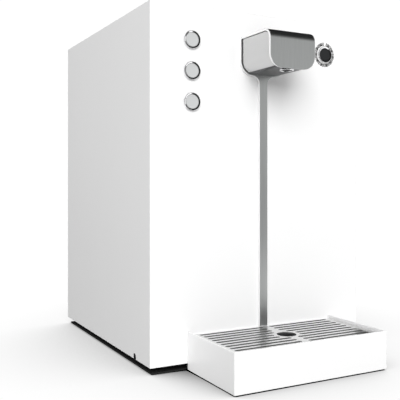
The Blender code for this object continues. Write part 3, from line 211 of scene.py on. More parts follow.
def finish(name, look):
    # One material: a pattern, rubbed edges and dust over it, and the pattern's height as bump.
    made = bpy.data.materials.new(name)
    made.use_nodes = True
    tree = made.node_tree
    shader = tree.nodes["Principled BSDF"]
    body = placeGroup(tree, look.get("pattern", "grain"),
                      {"Colour": look["colour"], "Roughness": look["roughness"], **look["lines"]})
    colour = body.outputs["Colour"]
    rough = body.outputs["Roughness"]
    if "wear" in look:
        worn = placeGroup(tree, "wear", {"Reach": look["wear"][0], "Amount": look["wear"][1]}).outputs[0]
        colour = mixColours(tree, worn, colour, look["wear"][2])
    if "dust" in look:
        film = placeGroup(tree, "dust", {"Amount": look["dust"]}).outputs[0]
        colour = mixColours(tree, film, colour, dustColour)
        rough = maths(tree, "ADD", rough, maths(tree, "MULTIPLY", film, 0.5), True)
    tree.links.new(colour, shader.inputs["Base Color"])
    tree.links.new(rough, shader.inputs["Roughness"])
    bump = tree.nodes.new("ShaderNodeBump")
    bump.inputs["Strength"].default_value = look["bump"][0]
    bump.inputs["Distance"].default_value = look["bump"][1]
    tree.links.new(body.outputs["Height"], bump.inputs["Height"])
    tree.links.new(bump.outputs[0], shader.inputs["Normal"])
    shader.inputs["Metallic"].default_value = look.get("metallic", 0.0)
    for label, value in look.get("sockets", {}).items():
        shader.inputs[label].default_value = value
    made.diffuse_color = (*look["colour"], 1.0)
    return made


finishLooks = {
    "whitePaint": {
        "colour": (0.88, 0.88, 0.88), "roughness": 0.42,
        "lines": {"Scale": 1500.0, "Tint": 0.012, "Spread": 0.05}, "bump": (0.05, 0.0002),
        "wear": (0.0010, 0.25, (0.60, 0.60, 0.59)), "dust": 0.05,
        "sockets": {"Specular IOR Level": 0.4}},
    "brushedSteel": {
        "pattern": "brush", "colour": (0.56, 0.575, 0.57), "roughness": 0.34, "metallic": 1.0,
        "lines": {"Scale": 1500.0, "Along": (1.0, 1.0, 0.03), "Tint": 0.16, "Spread": 0.10},
        "bump": (0.10, 0.0001), "sockets": {"Anisotropic": 0.5}},
    "grilleSteel": {
        "pattern": "brush", "colour": (0.80, 0.80, 0.80), "roughness": 0.30, "metallic": 1.0,
        "lines": {"Scale": 1500.0, "Along": (0.03, 1.0, 1.0), "Tint": 0.12, "Spread": 0.08},
        "bump": (0.08, 0.0001), "dust": 0.10},
    # Dark copy of the grille steel for its upright faces: painted shade in the slots.
    "slotWallShade": {
        "pattern": "brush", "colour": (0.16, 0.16, 0.16), "roughness": 0.42, "metallic": 0.4,
        "lines": {"Scale": 1500.0, "Along": (0.03, 1.0, 1.0), "Tint": 0.08, "Spread": 0.06},
        "bump": (0.06, 0.0001)},
    # Near-white copy of the steel for the sheets' cut edges: a painted highlight where the edges catch the
    # light.
    "cutEdgeHighlight": {
        "pattern": "brush", "colour": (0.97, 0.97, 0.97), "roughness": 0.36, "metallic": 0.25,
        "lines": {"Scale": 2400.0, "Along": (1.0, 1.0, 1.0), "Tint": 0.03, "Spread": 0.05},
        "bump": (0.04, 0.0001)},
    "satinShell": {
        "colour": (0.62, 0.62, 0.62), "roughness": 0.34, "metallic": 0.95,
        "lines": {"Scale": 2600.0, "Tint": 0.05, "Spread": 0.05}, "bump": (0.08, 0.0001)},
    # Near-black copy of the satin shell finish for its faces that look down: painted shade on the spout's
    # underside.
    "shellUnderShade": {
        "colour": (0.085, 0.085, 0.09), "roughness": 0.30, "metallic": 0.9,
        "lines": {"Scale": 2600.0, "Tint": 0.06, "Spread": 0.06}, "bump": (0.08, 0.0001)},
    "chrome": {
        "colour": (0.90, 0.90, 0.91), "roughness": 0.05, "metallic": 1.0,
        "lines": {"Scale": 700.0, "Tint": 0.02, "Spread": 0.02}, "bump": (0.01, 0.0001)},
    "capSatin": {
        "pattern": "brush", "colour": (0.63, 0.64, 0.64), "roughness": 0.40, "metallic": 0.25,
        "lines": {"Scale": 2400.0, "Along": (1.0, 1.0, 1.0), "Tint": 0.03, "Spread": 0.04},
        "bump": (0.05, 0.0001)},
    "blackRubber": {
        "colour": (0.012, 0.012, 0.012), "roughness": 0.75,
        "lines": {"Scale": 1800.0, "Tint": 0.3, "Spread": 0.08}, "bump": (0.3, 0.0002), "dust": 0.04},
    "blackPlastic": {
        "colour": (0.018, 0.018, 0.019), "roughness": 0.45,
        "lines": {"Scale": 2200.0, "Tint": 0.25, "Spread": 0.08}, "bump": (0.15, 0.0001),
        "wear": (0.0004, 0.25, (0.07, 0.07, 0.07)), "dust": 0.02},
    "blackLens": {
        "colour": (0.012, 0.013, 0.014), "roughness": 0.08,
        "lines": {"Scale": 300.0, "Tint": 0.2, "Spread": 0.02}, "bump": (0.01, 0.0001),
        "sockets": {"Specular IOR Level": 0.3}},
    "greyPlastic": {
        "colour": (0.20, 0.205, 0.21), "roughness": 0.5,
        "lines": {"Scale": 1800.0, "Tint": 0.12, "Spread": 0.08}, "bump": (0.15, 0.0001), "dust": 0.1},
    # Catch bin plastic, darker than the other grey plastic: partly the bin's own colour, partly painted
    # shade inside the tray seen through the grille.
    "linerPlasticAndShade": {
        "colour": (0.10, 0.102, 0.105), "roughness": 0.5,
        "lines": {"Scale": 1800.0, "Tint": 0.12, "Spread": 0.08}, "bump": (0.15, 0.0001), "dust": 0.1},
    "printGrey": {
        "colour": (0.03, 0.03, 0.03), "roughness": 0.5,
        "lines": {"Scale": 3000.0, "Tint": 0.25, "Spread": 0.1}, "bump": (0.05, 0.0001)},
    "printWhite": {
        "colour": (0.80, 0.80, 0.79), "roughness": 0.5,
        "lines": {"Scale": 3000.0, "Tint": 0.08, "Spread": 0.1}, "bump": (0.05, 0.0001)},
    "zincPlate": {
        "colour": (0.60, 0.62, 0.64), "roughness": 0.42, "metallic": 1.0,
        "lines": {"Scale": 260.0, "Tint": 0.10, "Spread": 0.12}, "bump": (0.05, 0.0002), "dust": 0.15},
    "stainless": {
        "pattern": "brush", "colour": (0.62, 0.63, 0.64), "roughness": 0.28, "metallic": 1.0,
        "lines": {"Scale": 1200.0, "Along": (1.0, 1.0, 0.05), "Tint": 0.12, "Spread": 0.10},
        "bump": (0.08, 0.0001), "dust": 0.1},
    "foam": {
        "colour": (0.16, 0.16, 0.17), "roughness": 0.9,
        "lines": {"Scale": 900.0, "Tint": 0.35, "Spread": 0.05}, "bump": (0.6, 0.0006), "dust": 0.1},
    "copper": {
        "colour": (0.78, 0.40, 0.25), "roughness": 0.32, "metallic": 1.0,
        "lines": {"Scale": 200.0, "Tint": 0.18, "Spread": 0.15}, "bump": (0.05, 0.0001)},
    "brass": {
        "colour": (0.74, 0.56, 0.27), "roughness": 0.30, "metallic": 1.0,
        "lines": {"Scale": 400.0, "Tint": 0.12, "Spread": 0.12}, "bump": (0.05, 0.0001)},
    "boardGreen": {
        "colour": (0.03, 0.20, 0.09), "roughness": 0.35,
        "lines": {"Scale": 500.0, "Tint": 0.3, "Spread": 0.1}, "bump": (0.1, 0.0001), "dust": 0.1},
    "blackEnamel": {
        "colour": (0.025, 0.025, 0.026), "roughness": 0.30,
        "lines": {"Scale": 600.0, "Tint": 0.2, "Spread": 0.08}, "bump": (0.1, 0.0002), "dust": 0.12},
}
finishes = {name: finish(name, look) for name, look in finishLooks.items()}
slotFinish = {"white_paint": "whitePaint", "brushed_steel": "brushedSteel", "satin_shell": "satinShell",
              "chrome": "chrome", "cap_grey": "capSatin", "black_rubber": "blackRubber",
              "black_plastic": "blackPlastic", "black_lens": "blackLens", "grey_plastic": "greyPlastic",
              "zinc_plate": "zincPlate", "stainless": "stainless", "foam": "foam", "copper": "copper",
              "brass": "brass", "board_green": "boardGreen", "black_enamel": "blackEnamel"}
nodeSlot = {part["node"]: part["material_slot"] for part in frame["record"]["subparts"]}
nodeBody = {node: body for body, members in frame["record"]["behaviour"]["bodies"].items()
            for node in members}
for nodeName, part in nodes.items():
    part.data.materials.clear()
    part.data.materials.append(finishes[slotFinish[nodeSlot[nodeName]]])
print("finishes made:", len(finishes))


def smoothBy(bm, degrees=40):
    limit = math.radians(degrees)
    for face in bm.faces:
        face.smooth = True
    for edge in bm.edges:
        edge.smooth = len(edge.link_faces) == 2 and edge.calc_face_angle(0.0) < limit


def bevelEdges(bm, edges, width, segments):
    bmesh.ops.bevel(bm, geom=list(edges), offset=width, offset_type="OFFSET", segments=segments,
                    profile=0.5, affect="EDGES", material=-1, clamp_overlap=True)


def bevelCorners(bm, verts, width, segments):
    bmesh.ops.bevel(bm, geom=list(verts), offset=width, offset_type="OFFSET", segments=segments,
                    profile=0.5, affect="VERTICES", material=-1, clamp_overlap=True)


def sharpEdges(bm, degrees):
    limit = math.radians(degrees)
    return [e for e in bm.edges if len(e.link_faces) == 2 and e.calc_face_angle(0.0) > limit]


def markFaces(bm, chosen):
    # The faces whose normal is chosen get the piece's second finish.
    for face in bm.faces:
        face.material_index = 1 if chosen(face.normal) else 0


def evenNormals(piece):
    even = piece.modifiers.new("evenNormals", "WEIGHTED_NORMAL")
    even.keep_sharp = True


def addPiece(name, bm, materials, body, replaced):
    # A finished mesh with the finishes given rides on its body and stands in for the nodes replaced, which
    # are hidden.
    smoothBy(bm)
    mesh = bpy.data.meshes.new(name)
    bm.to_mesh(mesh)
    bm.free()
    for label in materials:
        mesh.materials.append(finishes[label])
    piece = bpy.data.objects.new(name, mesh)
    bpy.context.scene.collection.objects.link(piece)
    evenNormals(piece)
    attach(piece, body)
    if replaced:
        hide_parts(*replaced)
    return piece


def softened(node, name, width, segments, materials=None, second=None):
    # The node's own solid with its sharp edges rounded, and a second finish where second says so.
    merge = {"distance": 0.00002, "flat": 0.5, "sharp": 35}
    bm = bmesh.new()
    bm.from_mesh(nodes[node].data)
    bmesh.ops.remove_doubles(bm, verts=bm.verts, dist=merge["distance"])
    bmesh.ops.dissolve_limit(bm, angle_limit=math.radians(merge["flat"]), verts=bm.verts, edges=bm.edges)
    bevelEdges(bm, sharpEdges(bm, merge["sharp"]), width, segments)
    if second:
        markFaces(bm, second)
    label = slotFinish[nodeSlot[node]]
    addPiece(name, bm, materials or [label], nodeBody[node], [node])


def lathe(points, place, steps=96):
    # Points are (radius, height) along the axis; place turns and moves the result.
    bm = bmesh.new()
    line = [bm.verts.new((radius, 0.0, height)) for radius, height in points]
    edges = [bm.edges.new(pair) for pair in zip(line, line[1:])]
    bmesh.ops.spin(bm, geom=line + edges, cent=(0, 0, 0), axis=(0, 0, 1), angle=math.tau,
                   steps=steps, use_merge=True)
    bmesh.ops.remove_doubles(bm, verts=bm.verts, dist=0.000005)
    bmesh.ops.recalc_face_normals(bm, faces=bm.faces)
    bmesh.ops.transform(bm, matrix=place, verts=bm.verts)
    return bm


def arcPoints(centre, radius, startAngle, endAngle, count):
    angles = [math.radians(startAngle + (endAngle - startAngle) * i / count) for i in range(count + 1)]
    return [(centre[0] + radius * math.cos(a), centre[1] + radius * math.sin(a)) for a in angles]


def facing(x, y, z, axis):
    # Turns a lathed piece's height from +Z ("up") towards -Y ("front").
    turn = {"front": 90, "up": 0}[axis]
    return Matrix.Translation((x, y, z)) @ Matrix.Rotation(math.radians(turn), 4, "X")


def middle(node):
    low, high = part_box(node)
    return (low + high) / 2


# Each sheet of the cabinet with the width and steps of its rounded edges.
cabinetEdges = {"front_panel": ("frontPanel", 0.0006, 3), "left_side_panel": ("leftSidePanel", 0.0005, 2),
                "right_side_panel": ("rightSidePanel", 0.0005, 2), "top_cover": ("topCover", 0.0006, 3),
                # The thin black base mat on the floor is partly a mat and partly painted shade under the
                # raised body.
                "rear_panel": ("rearPanel", 0.0003, 1), "base_mat": ("baseMat", 0.0005, 2),
                "plinth": ("plinthFrame", 0.0008, 2), "base_pan": ("basePan", 0.0003, 1)}
for nodeName, edge in cabinetEdges.items():
    softened(nodeName, *edge)


def makeSideScrew(word, side):
    # Domed head with a round drive hole, on the left (-1) or right (1) panel.
    screw = {"dome": 0.0006, "rim": 0.0004, "crown": 0.62, "drive": 0.0018, "driveDepth": 0.0009,
             "driveEdge": 0.0001}
    node = f"{word}_side_screw"
    low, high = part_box(node)
    radius = (high.z - low.z) / 2
    outer = low.x if side < 0 else high.x
    inner = high.x if side < 0 else low.x
    length = abs(outer - inner)
    points = [(0, length - screw["driveDepth"]), (screw["drive"], length - screw["driveDepth"]),
              (screw["drive"], length - screw["driveEdge"]), (radius * screw["crown"], length),
              (radius - screw["rim"], length - screw["dome"] / 2), (radius, length - screw["dome"]),
              (radius, 0), (0, 0)]
    turn = Matrix.Rotation(math.radians(90 * side), 4, "Y")
    place = Matrix.Translation((inner, (low.y + high.y) / 2, (low.z + high.z) / 2)) @ turn
    addPiece(f"{word}SideScrew", lathe(points, place, 48), ["blackPlastic"], "root", [node])


makeSideScrew("left", -1)
makeSideScrew("right", 1)
print("cabinet done")


spout = {"width": 0.061, "height": 0.043, "sheet": 0.0025, "corner": 0.0155, "bend": 0.0112,
         "plate": 0.003, "margin": 0.0008, "strip": 0.0115, "fillet": 0.009, "shellInset": 0.0009,
         "shellWall": 0.0015, "shellEdge": 0.0002, "reveal": 0.0006, "gap": 0.0003, "edge": 0.0005,
         "joined": 0.0002, "sharp": 50, "near": 0.0001}
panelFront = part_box("front_panel")[0].y
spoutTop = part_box("spout_fascia")[1].z - spout["margin"]
spoutLow = spoutTop - spout["height"]
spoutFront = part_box("spout_fascia")[0].y
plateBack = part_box("spout_fascia")[1].y
plateFront = plateBack - spout["plate"]


def makeHood():
    # Top and front from one sheet: a line swept across, its bend and corners rounded.
    bm = bmesh.new()
    half = spout["width"] / 2
    line = [bm.verts.new((-half, y, z)) for y, z in
            ((plateFront + spout["joined"], spoutTop), (spoutFront, spoutTop), (spoutFront, spoutLow))]
    edges = [bm.edges.new(pair) for pair in zip(line, line[1:])]
    swept = bmesh.ops.extrude_edge_only(bm, edges=edges)["geom"]
    bmesh.ops.translate(bm, verts=[v for v in swept if isinstance(v, bmesh.types.BMVert)],
                        vec=(2 * half, 0, 0))
    lowCorners = [v for v in bm.verts if v.co.z < spoutLow + spout["near"]]
    bevelCorners(bm, lowCorners, spout["corner"], 12)
    bend = [e for e in bm.edges if len(e.link_faces) == 2]
    bevelEdges(bm, bend, spout["bend"], 12)
    bmesh.ops.recalc_face_normals(bm, faces=bm.faces)
    if sum(f.normal.y for f in bm.faces if abs(f.normal.y) > 0.9) > 0:
        bmesh.ops.reverse_faces(bm, faces=bm.faces)
    bmesh.ops.solidify(bm, geom=bm.faces[:], thickness=spout["sheet"])
    bmesh.ops.recalc_face_normals(bm, faces=bm.faces)
    bevelEdges(bm, sharpEdges(bm, spout["sharp"]), spout["edge"], 2)
    # The cut edges that face sideways take the near-white finish, a painted highlight.
    markFaces(bm, lambda normal: abs(normal.x) > 0.3)
    addPiece("spoutHood", bm, ["brushedSteel", "cutEdgeHighlight"], "root", ["spout_fascia"])


def makeBackPlate():
    # Plate behind the hood that narrows to the strip down to the tray.
    bm = bmesh.new()
    half = spout["width"] / 2 + spout["margin"]
    strip = spout["strip"] / 2
    high = spoutTop + spout["margin"]
    low = spoutLow - spout["margin"]
    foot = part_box("spout_fascia")[0].z
    step = low - spout["joined"]
    corners = [(-half, high), (-half, low), (-strip, step), (-strip, foot),
               (strip, foot), (strip, step), (half, low), (half, high)]
    verts = [bm.verts.new((x, plateBack, z)) for x, z in corners]
    bm.faces.new(verts)
    bevelCorners(bm, [verts[1], verts[6]], spout["corner"] + spout["margin"], 12)
    bevelCorners(bm, [verts[2], verts[5]], spout["fillet"], 10)
    grown = bmesh.ops.extrude_face_region(bm, geom=bm.faces[:])["geom"]
    bmesh.ops.translate(bm, verts=[v for v in grown if isinstance(v, bmesh.types.BMVert)],
                        vec=(0, -spout["plate"], 0))
    bmesh.ops.recalc_face_normals(bm, faces=bm.faces)
    bevelEdges(bm, sharpEdges(bm, spout["sharp"]), spout["edge"], 2)
    # The plate's cut edges take the near-white finish, a painted highlight.
    markFaces(bm, lambda normal: abs(normal.y) < 0.97)
    addPiece("spoutBackPlate", bm, ["brushedSteel", "cutEdgeHighlight"], "root", ())


def makeShell():
    # Satin channel inside the hood: sides and underside, open at the top. The underside takes a darker copy
    # of the satin finish, painted shade.
    half = spout["width"] / 2 - spout["shellInset"]
    low = spoutLow + spout["shellInset"]
    high = spoutTop - spout["sheet"] - spout["reveal"]
    back = plateFront - spout["gap"]
    front = spoutFront + spout["sheet"] + spout["reveal"]
    bm = bmesh.new()
    line = [bm.verts.new((x, back, z)) for x, z in ((-half, high), (-half, low), (half, low), (half, high))]
    edges = [bm.edges.new(pair) for pair in zip(line, line[1:])]
    swept = bmesh.ops.extrude_edge_only(bm, edges=edges)["geom"]
    bmesh.ops.translate(bm, verts=[v for v in swept if isinstance(v, bmesh.types.BMVert)],
                        vec=(0, front - back, 0))
    topFront = [v for v in bm.verts if v.co.z > high - spout["near"] and v.co.y < front + spout["near"]]
    bevelCorners(bm, topFront, spout["bend"] - spout["sheet"] - spout["reveal"], 8)
    folds = [e for e in bm.edges if len(e.link_faces) == 2]
    bevelEdges(bm, folds, spout["corner"] - spout["shellInset"], 14)
    bmesh.ops.recalc_face_normals(bm, faces=bm.faces)
    if sum(f.normal.z for f in bm.faces if abs(f.normal.z) > 0.9) > 0:
        bmesh.ops.reverse_faces(bm, faces=bm.faces)
    bmesh.ops.solidify(bm, geom=bm.faces[:], thickness=spout["shellWall"])
    bmesh.ops.recalc_face_normals(bm, faces=bm.faces)
    bevelEdges(bm, sharpEdges(bm, spout["sharp"]), spout["shellEdge"], 2)
    # Faces that look down take the dark copy of the satin finish, painted shade.
    markFaces(bm, lambda normal: normal.z < -0.9)
    piece = addPiece("spoutShell", bm, ["satinShell", "shellUnderShade"], "root", ["spout_shell"])
    nozzle = middle("nozzle_body")
    radius = nozzle.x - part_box("nozzle_body")[0].x + spout["gap"]
    reach = spout["shellWall"] * 4
    hole = lathe([(0, -reach), (radius, -reach), (radius, reach), (0, reach)],
                 facing(nozzle.x, nozzle.y, low, "up"), 64)
    cutAway(piece, hole)


def cutAway(piece, bm):
    # A hole through the piece, applied at once so that no cutter is left.
    mesh = bpy.data.meshes.new("cutter")
    bm.to_mesh(mesh)
    bm.free()
    cutter = bpy.data.objects.new("cutter", mesh)
    bpy.context.scene.collection.objects.link(cutter)
    piece.modifiers.clear()
    cut = piece.modifiers.new("hole", "BOOLEAN")
    cut.operation = "DIFFERENCE"
    cut.solver = "EXACT"
    cut.object = cutter
    bpy.context.view_layer.update()
    solid = bpy.data.meshes.new_from_object(piece.evaluated_get(bpy.context.evaluated_depsgraph_get()))
    piece.modifiers.clear()
    piece.data = solid
    evenNormals(piece)
    bpy.data.objects.remove(cutter)


def makeNozzle():
    # Chrome ring with a grooved skirt, and the black jet plate inside it.
    low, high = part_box("nozzle_body")
    radius = (high.x - low.x) / 2
    tall = high.z - low.z
    nozzle = {"bore": 0.0062, "round": 0.0008, "edge": 0.0004, "groove": 0.0003, "grooveLow": 0.0030,
              "grooveSlope": 0.0004}
    waist = radius - nozzle["groove"]
    foot, slope = nozzle["grooveLow"], nozzle["grooveSlope"]
    points = [(nozzle["bore"], tall), (radius - nozzle["edge"], tall), (radius, tall - nozzle["edge"]),
              (radius, foot + slope * 3), (waist, foot + slope * 2), (waist, foot + slope), (radius, foot)]
    points += arcPoints((radius - nozzle["round"], nozzle["round"]), nozzle["round"], 0, -90, 6)
    points += [(nozzle["bore"] + nozzle["edge"], 0), (nozzle["bore"], nozzle["edge"]),
               (nozzle["bore"], tall)]
    centre = middle("nozzle_body")
    addPiece("nozzleRing", lathe(points, facing(centre.x, centre.y, low.z, "up")), ["chrome"], "root",
             ["nozzle_body"])
    softened("nozzle_insert", "nozzleJet", 0.0002, 2)


makeHood()
makeBackPlate()
makeShell()
makeNozzle()
print("spout done")


def makeRing(node, name):
    # Polished ring seated on the panel: a shallow cone inside, a round flank outside.
    low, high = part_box(node)
    radius = (high.x - low.x) / 2
    proud = panelFront - low.y
    ring = {"bore": 0.0083, "barrel": 0.0090, "slope": 0.00065, "edge": 0.0001, "round": 0.00045,
            "lean": 118, "seat": 0.0003}
    back = panelFront - high.y
    mouth = proud - ring["slope"]
    points = [(ring["bore"], back), (ring["bore"], mouth - ring["edge"]),
              (ring["bore"] + ring["edge"], mouth)]
    points += arcPoints((radius - ring["round"], proud - ring["round"]), ring["round"], ring["lean"], 0, 12)
    points += [(radius, ring["seat"]), (ring["barrel"], ring["seat"]), (ring["barrel"], back),
               (ring["bore"], back)]
    centre = middle(node)
    place = facing(centre.x, panelFront, centre.z, "front")
    addPiece(name, lathe(points, place, 128), ["chrome"], "root", [node])
    return centre


def makeCap(number):
    # Flat cap with a rounded rim and a very shallow dish.
    node = f"button_cap_{number}"
    low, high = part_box(node)
    radius = (high.x - low.x) / 2
    thick = high.y - low.y
    cap = {"dish": 0.00025, "round": 0.0005, "falls": ((0.80, 0.5), (0.55, 0.85), (0.3, 1.0))}
    points = [(0, -thick), (radius, -thick), (radius, -cap["round"])]
    points += arcPoints((radius - cap["round"], -cap["round"]), cap["round"], 0, 90, 5)[1:]
    points += [(radius * out, -cap["dish"] * down) for out, down in cap["falls"]]
    points += [(0, -cap["dish"])]
    centre = middle(node)
    addPiece(f"buttonCap{number}", lathe(points, facing(centre.x, low.y, centre.z, "front")), ["capSatin"],
             f"button_{number}", [node])


for number in (1, 2, 3):
    makeRing(f"button_bezel_{number}", f"buttonRing{number}")
    makeCap(number)


def makeLens():
    # Black window, domed a little, with a rounded rim.
    lens = {"rim": 0.0006, "shoulder": 0.0009, "rises": ((0.7, 0.00012), (0.4, 0.00003), (0, 0))}
    low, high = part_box("indicator_lens")
    radius = (high.x - low.x) / 2
    thick = high.y - low.y
    points = [(0, -thick), (radius, -thick), (radius, -lens["shoulder"])]
    points += arcPoints((radius - lens["rim"], -lens["shoulder"]), lens["rim"], 0, 60, 4)[1:]
    points += [(radius * out, -down) for out, down in lens["rises"]]
    centre = middle("indicator_lens")
    addPiece("indicatorLens", lathe(points, facing(centre.x, low.y, centre.z, "front")), ["blackLens"],
             "root", ["indicator_lens"])


def makeScale(centre):
    # Printed ring of short marks round the indicator, their widths and lengths uneven.
    scale = {"count": 53, "radius": 0.0133, "tall": 0.0044, "thick": 0.00006, "gap": (0, 1),
             "widths": (0.86, 0.52, 0.74, 0.60, 0.90), "lengths": (1.0, 0.76, 0.92, 0.84)}
    bm = bmesh.new()
    pitch = math.tau * scale["radius"] / scale["count"]
    for i in range(scale["count"]):
        if i in scale["gap"]:
            continue
        mark = bmesh.ops.create_cube(bm, size=1.0)["verts"]
        wide = pitch * scale["widths"][i % len(scale["widths"])]
        tall = scale["tall"] * scale["lengths"][i % len(scale["lengths"])]
        bmesh.ops.scale(bm, verts=mark, vec=(wide, scale["thick"], tall))
        bmesh.ops.translate(bm, verts=mark, vec=(0, -scale["thick"] / 2, scale["radius"]))
        bmesh.ops.rotate(bm, verts=mark, cent=(0, 0, 0),
                         matrix=Matrix.Rotation(math.tau * i / scale["count"], 3, "Y"))
    bmesh.ops.translate(bm, verts=bm.verts, vec=(centre.x, panelFront, centre.z))
    addPiece("indicatorScale", bm, ["printGrey"], "root", ())


lensCentre = makeRing("indicator_bezel", "indicatorRing")
makeLens()
makeScale(lensCentre)
print("buttons and indicator done")


softened("tray_body", "trayBox", 0.0007, 3)
# The grille's upright faces, the slot walls among them, take the dark copy of the steel, painted shade.
softened("tray_grille", "trayGrille", 0.00025, 2, ["grilleSteel", "slotWallShade"],
         lambda normal: abs(normal.z) < 0.5)
# The catch bin's dark finish is partly painted shade inside the tray.
softened("tray_liner", "trayLiner", 0.0006, 2, ["linerPlasticAndShade"])
softened("tray_mat", "trayMat", 0.0003, 2)
print("tray done")


rearEdges = {"power_inlet": ("powerInlet", 0.0004), "power_switch_frame": ("switchFrame", 0.0004),
             "power_rocker": ("switchRocker", 0.0003), "thermostat_knob": ("thermostatKnob", 0.0004),
             "water_inlet_fitting": ("waterFitting", 0.0004), "gas_inlet_fitting": ("gasFitting", 0.0004)}
for nodeName, edge in rearEdges.items():
    softened(nodeName, *edge, 2)


def onRear(node, x, z):
    # Places a print flat on the node's rear face behind (x, z), its height along +Z.
    behind = 0.5
    bm = bmesh.new()
    bm.from_mesh(nodes[node].data)
    point, normal, _, _ = BVHTree.FromBMesh(bm).ray_cast((x, behind, z), (0, -1, 0))
    bm.free()
    return Matrix.Translation(point) @ normal.to_track_quat("Z", "X").to_matrix().to_4x4()


def makeRockerMarks():
    # A bar and a ring, printed on the two halves of the rocker.
    mark = {"away": 0.0046, "tall": 0.0030, "wide": 0.0006, "thick": 0.00008, "ring": 0.0013,
            "ringWide": 0.00048}
    centre = middle("power_rocker")
    outer, inner, thick = mark["ring"], mark["ring"] - mark["ringWide"], mark["thick"]
    bm = lathe([(inner, -thick), (outer, -thick), (outer, thick), (inner, thick), (inner, -thick)],
               onRear("power_rocker", centre.x, centre.z - mark["away"]), 32)
    bar = bmesh.ops.create_cube(bm, size=1.0)["verts"]
    bmesh.ops.scale(bm, verts=bar, vec=(mark["tall"], mark["wide"], thick * 2))
    bmesh.ops.transform(bm, matrix=onRear("power_rocker", centre.x, centre.z + mark["away"]), verts=bar)
    addPiece("rockerMarks", bm, ["printWhite"], "rocker", ())


def makeKnobMarks():
    # Pointer line on the knob, and marks round it on the panel that grow towards the cold end.
    mark = {"line": 0.0070, "wide": 0.0009, "thick": 0.00008, "count": 9, "span": 240.0,
            "radius": 0.0172, "short": 0.0010, "step": 0.0002}
    centre = middle("thermostat_knob")
    face = onRear("thermostat_knob", centre.x, centre.z + mark["line"]).translation
    bm = bmesh.new()
    line = bmesh.ops.create_cube(bm, size=1.0)["verts"]
    bmesh.ops.scale(bm, verts=line, vec=(mark["wide"], mark["thick"] * 2, mark["line"]))
    bmesh.ops.translate(bm, verts=line, vec=face)
    addPiece("knobPointer", bm, ["printWhite"], "knob", ())
    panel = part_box("rear_panel")[1].y
    bm = bmesh.new()
    for i in range(mark["count"]):
        tall = mark["short"] + mark["step"] * i
        tick = bmesh.ops.create_cube(bm, size=1.0)["verts"]
        bmesh.ops.scale(bm, verts=tick, vec=(mark["wide"], mark["thick"], tall))
        bmesh.ops.translate(bm, verts=tick, vec=(0, mark["thick"] / 2, mark["radius"] + tall / 2))
        turn = math.radians(-mark["span"] / 2 + mark["span"] * i / (mark["count"] - 1))
        bmesh.ops.rotate(bm, verts=tick, cent=(0, 0, 0), matrix=Matrix.Rotation(-turn, 3, "Y"))
    bmesh.ops.translate(bm, verts=bm.verts, vec=(centre.x, panel, centre.z))
    addPiece("dialMarks", bm, ["printGrey"], "root", ())


makeRockerMarks()
makeKnobMarks()
print("rear done")


def smoothStep(tree, value, low, high):
    node = tree.nodes.new("ShaderNodeMapRange")
    node.interpolation_type = "SMOOTHSTEP"
    tree.links.new(value, node.inputs["Value"])
    node.inputs["From Min"].default_value = low
    node.inputs["From Max"].default_value = high
    return node.outputs[0]


def makeFloor():
    # Pale floor with a painted soft shadow where the object stands close, plain white further off.
    look = {"size": 12.0, "white": 1.04, "reach": 0.45, "depth": 1.52, "bounce": 0.42, "mirrored": 0.04,
            "side": 0.30, "sideFrom": (0.08, 0.20), "near": 0.85, "nearFrom": (0.12, 0.24),
            "nearBehind": (-0.95, -0.60)}
    bm = bmesh.new()
    bmesh.ops.create_grid(bm, x_segments=1, y_segments=1, size=look["size"])
    mesh = bpy.data.meshes.new("floor")
    bm.to_mesh(mesh)
    bm.free()
    floor = bpy.data.objects.new("floor", mesh)
    bpy.context.scene.collection.objects.link(floor)
    made = bpy.data.materials.new("floorWhite")
    made.use_nodes = True
    tree = made.node_tree
    tree.nodes.remove(tree.nodes["Principled BSDF"])
    # Ambient occlusion lowers the floor's glow near the object: the painted contact shadow.
    near = tree.nodes.new("ShaderNodeAmbientOcclusion")
    near.samples = 24
    near.inputs["Distance"].default_value = look["reach"]
    hidden = maths(tree, "SUBTRACT", 1.0, near.outputs["AO"], True)
    shade = maths(tree, "MULTIPLY", maths(tree, "MULTIPLY", hidden, hidden), look["depth"])
    seen = tree.nodes.new("ShaderNodeEmission")
    tree.links.new(maths(tree, "SUBTRACT", look["white"], shade), seen.inputs["Strength"])
    # Metal mirrors a dark floor in front and a pale one to the right.
    split = tree.nodes.new("ShaderNodeSeparateXYZ")
    tree.links.new(objectCoords(tree), split.inputs[0])
    close = maths(tree, "MULTIPLY", smoothStep(tree, split.outputs["Y"], *look["nearBehind"]),
                  smoothStep(tree, split.outputs["X"], *look["nearFrom"]))
    wide = maths(tree, "MULTIPLY", smoothStep(tree, split.outputs["X"], *look["sideFrom"]), look["side"])
    mirrored = maths(tree, "ADD", maths(tree, "ADD", wide, look["mirrored"]),
                     maths(tree, "MULTIPLY", close, look["near"]))
    level = seen.outputs[0]
    path = tree.nodes.new("ShaderNodeLightPath")
    for ray, strength in (("Is Diffuse Ray", look["bounce"]), ("Is Glossy Ray", mirrored)):
        other = tree.nodes.new("ShaderNodeEmission")
        feed(tree, other.inputs["Strength"], strength)
        both = tree.nodes.new("ShaderNodeMixShader")
        tree.links.new(path.outputs[ray], both.inputs[0])
        tree.links.new(level, both.inputs[1])
        tree.links.new(other.outputs[0], both.inputs[2])
        level = both.outputs[0]
    tree.links.new(level, tree.nodes["Material Output"].inputs["Surface"])
    mesh.materials.append(made)


def makeKeyLight():
    # One large soft light from the front left, which metal doesn't mirror.
    key = {"place": (-2.0, -4.5, 2.75), "target": (0.0, 0.0, 0.2), "size": 4.0, "power": 306.0}
    data = bpy.data.lights.new("keyLight", "AREA")
    data.shape = "RECTANGLE"
    data.size = data.size_y = key["size"]
    data.energy = key["power"]
    lamp = bpy.data.objects.new("keyLight", data)
    bpy.context.scene.collection.objects.link(lamp)
    lamp.location = key["place"]
    lamp.rotation_euler = (Vector(key["target"]) - lamp.location).to_track_quat("-Z", "Y").to_euler()
    lamp.visible_glossy = False
    lamp.visible_camera = False


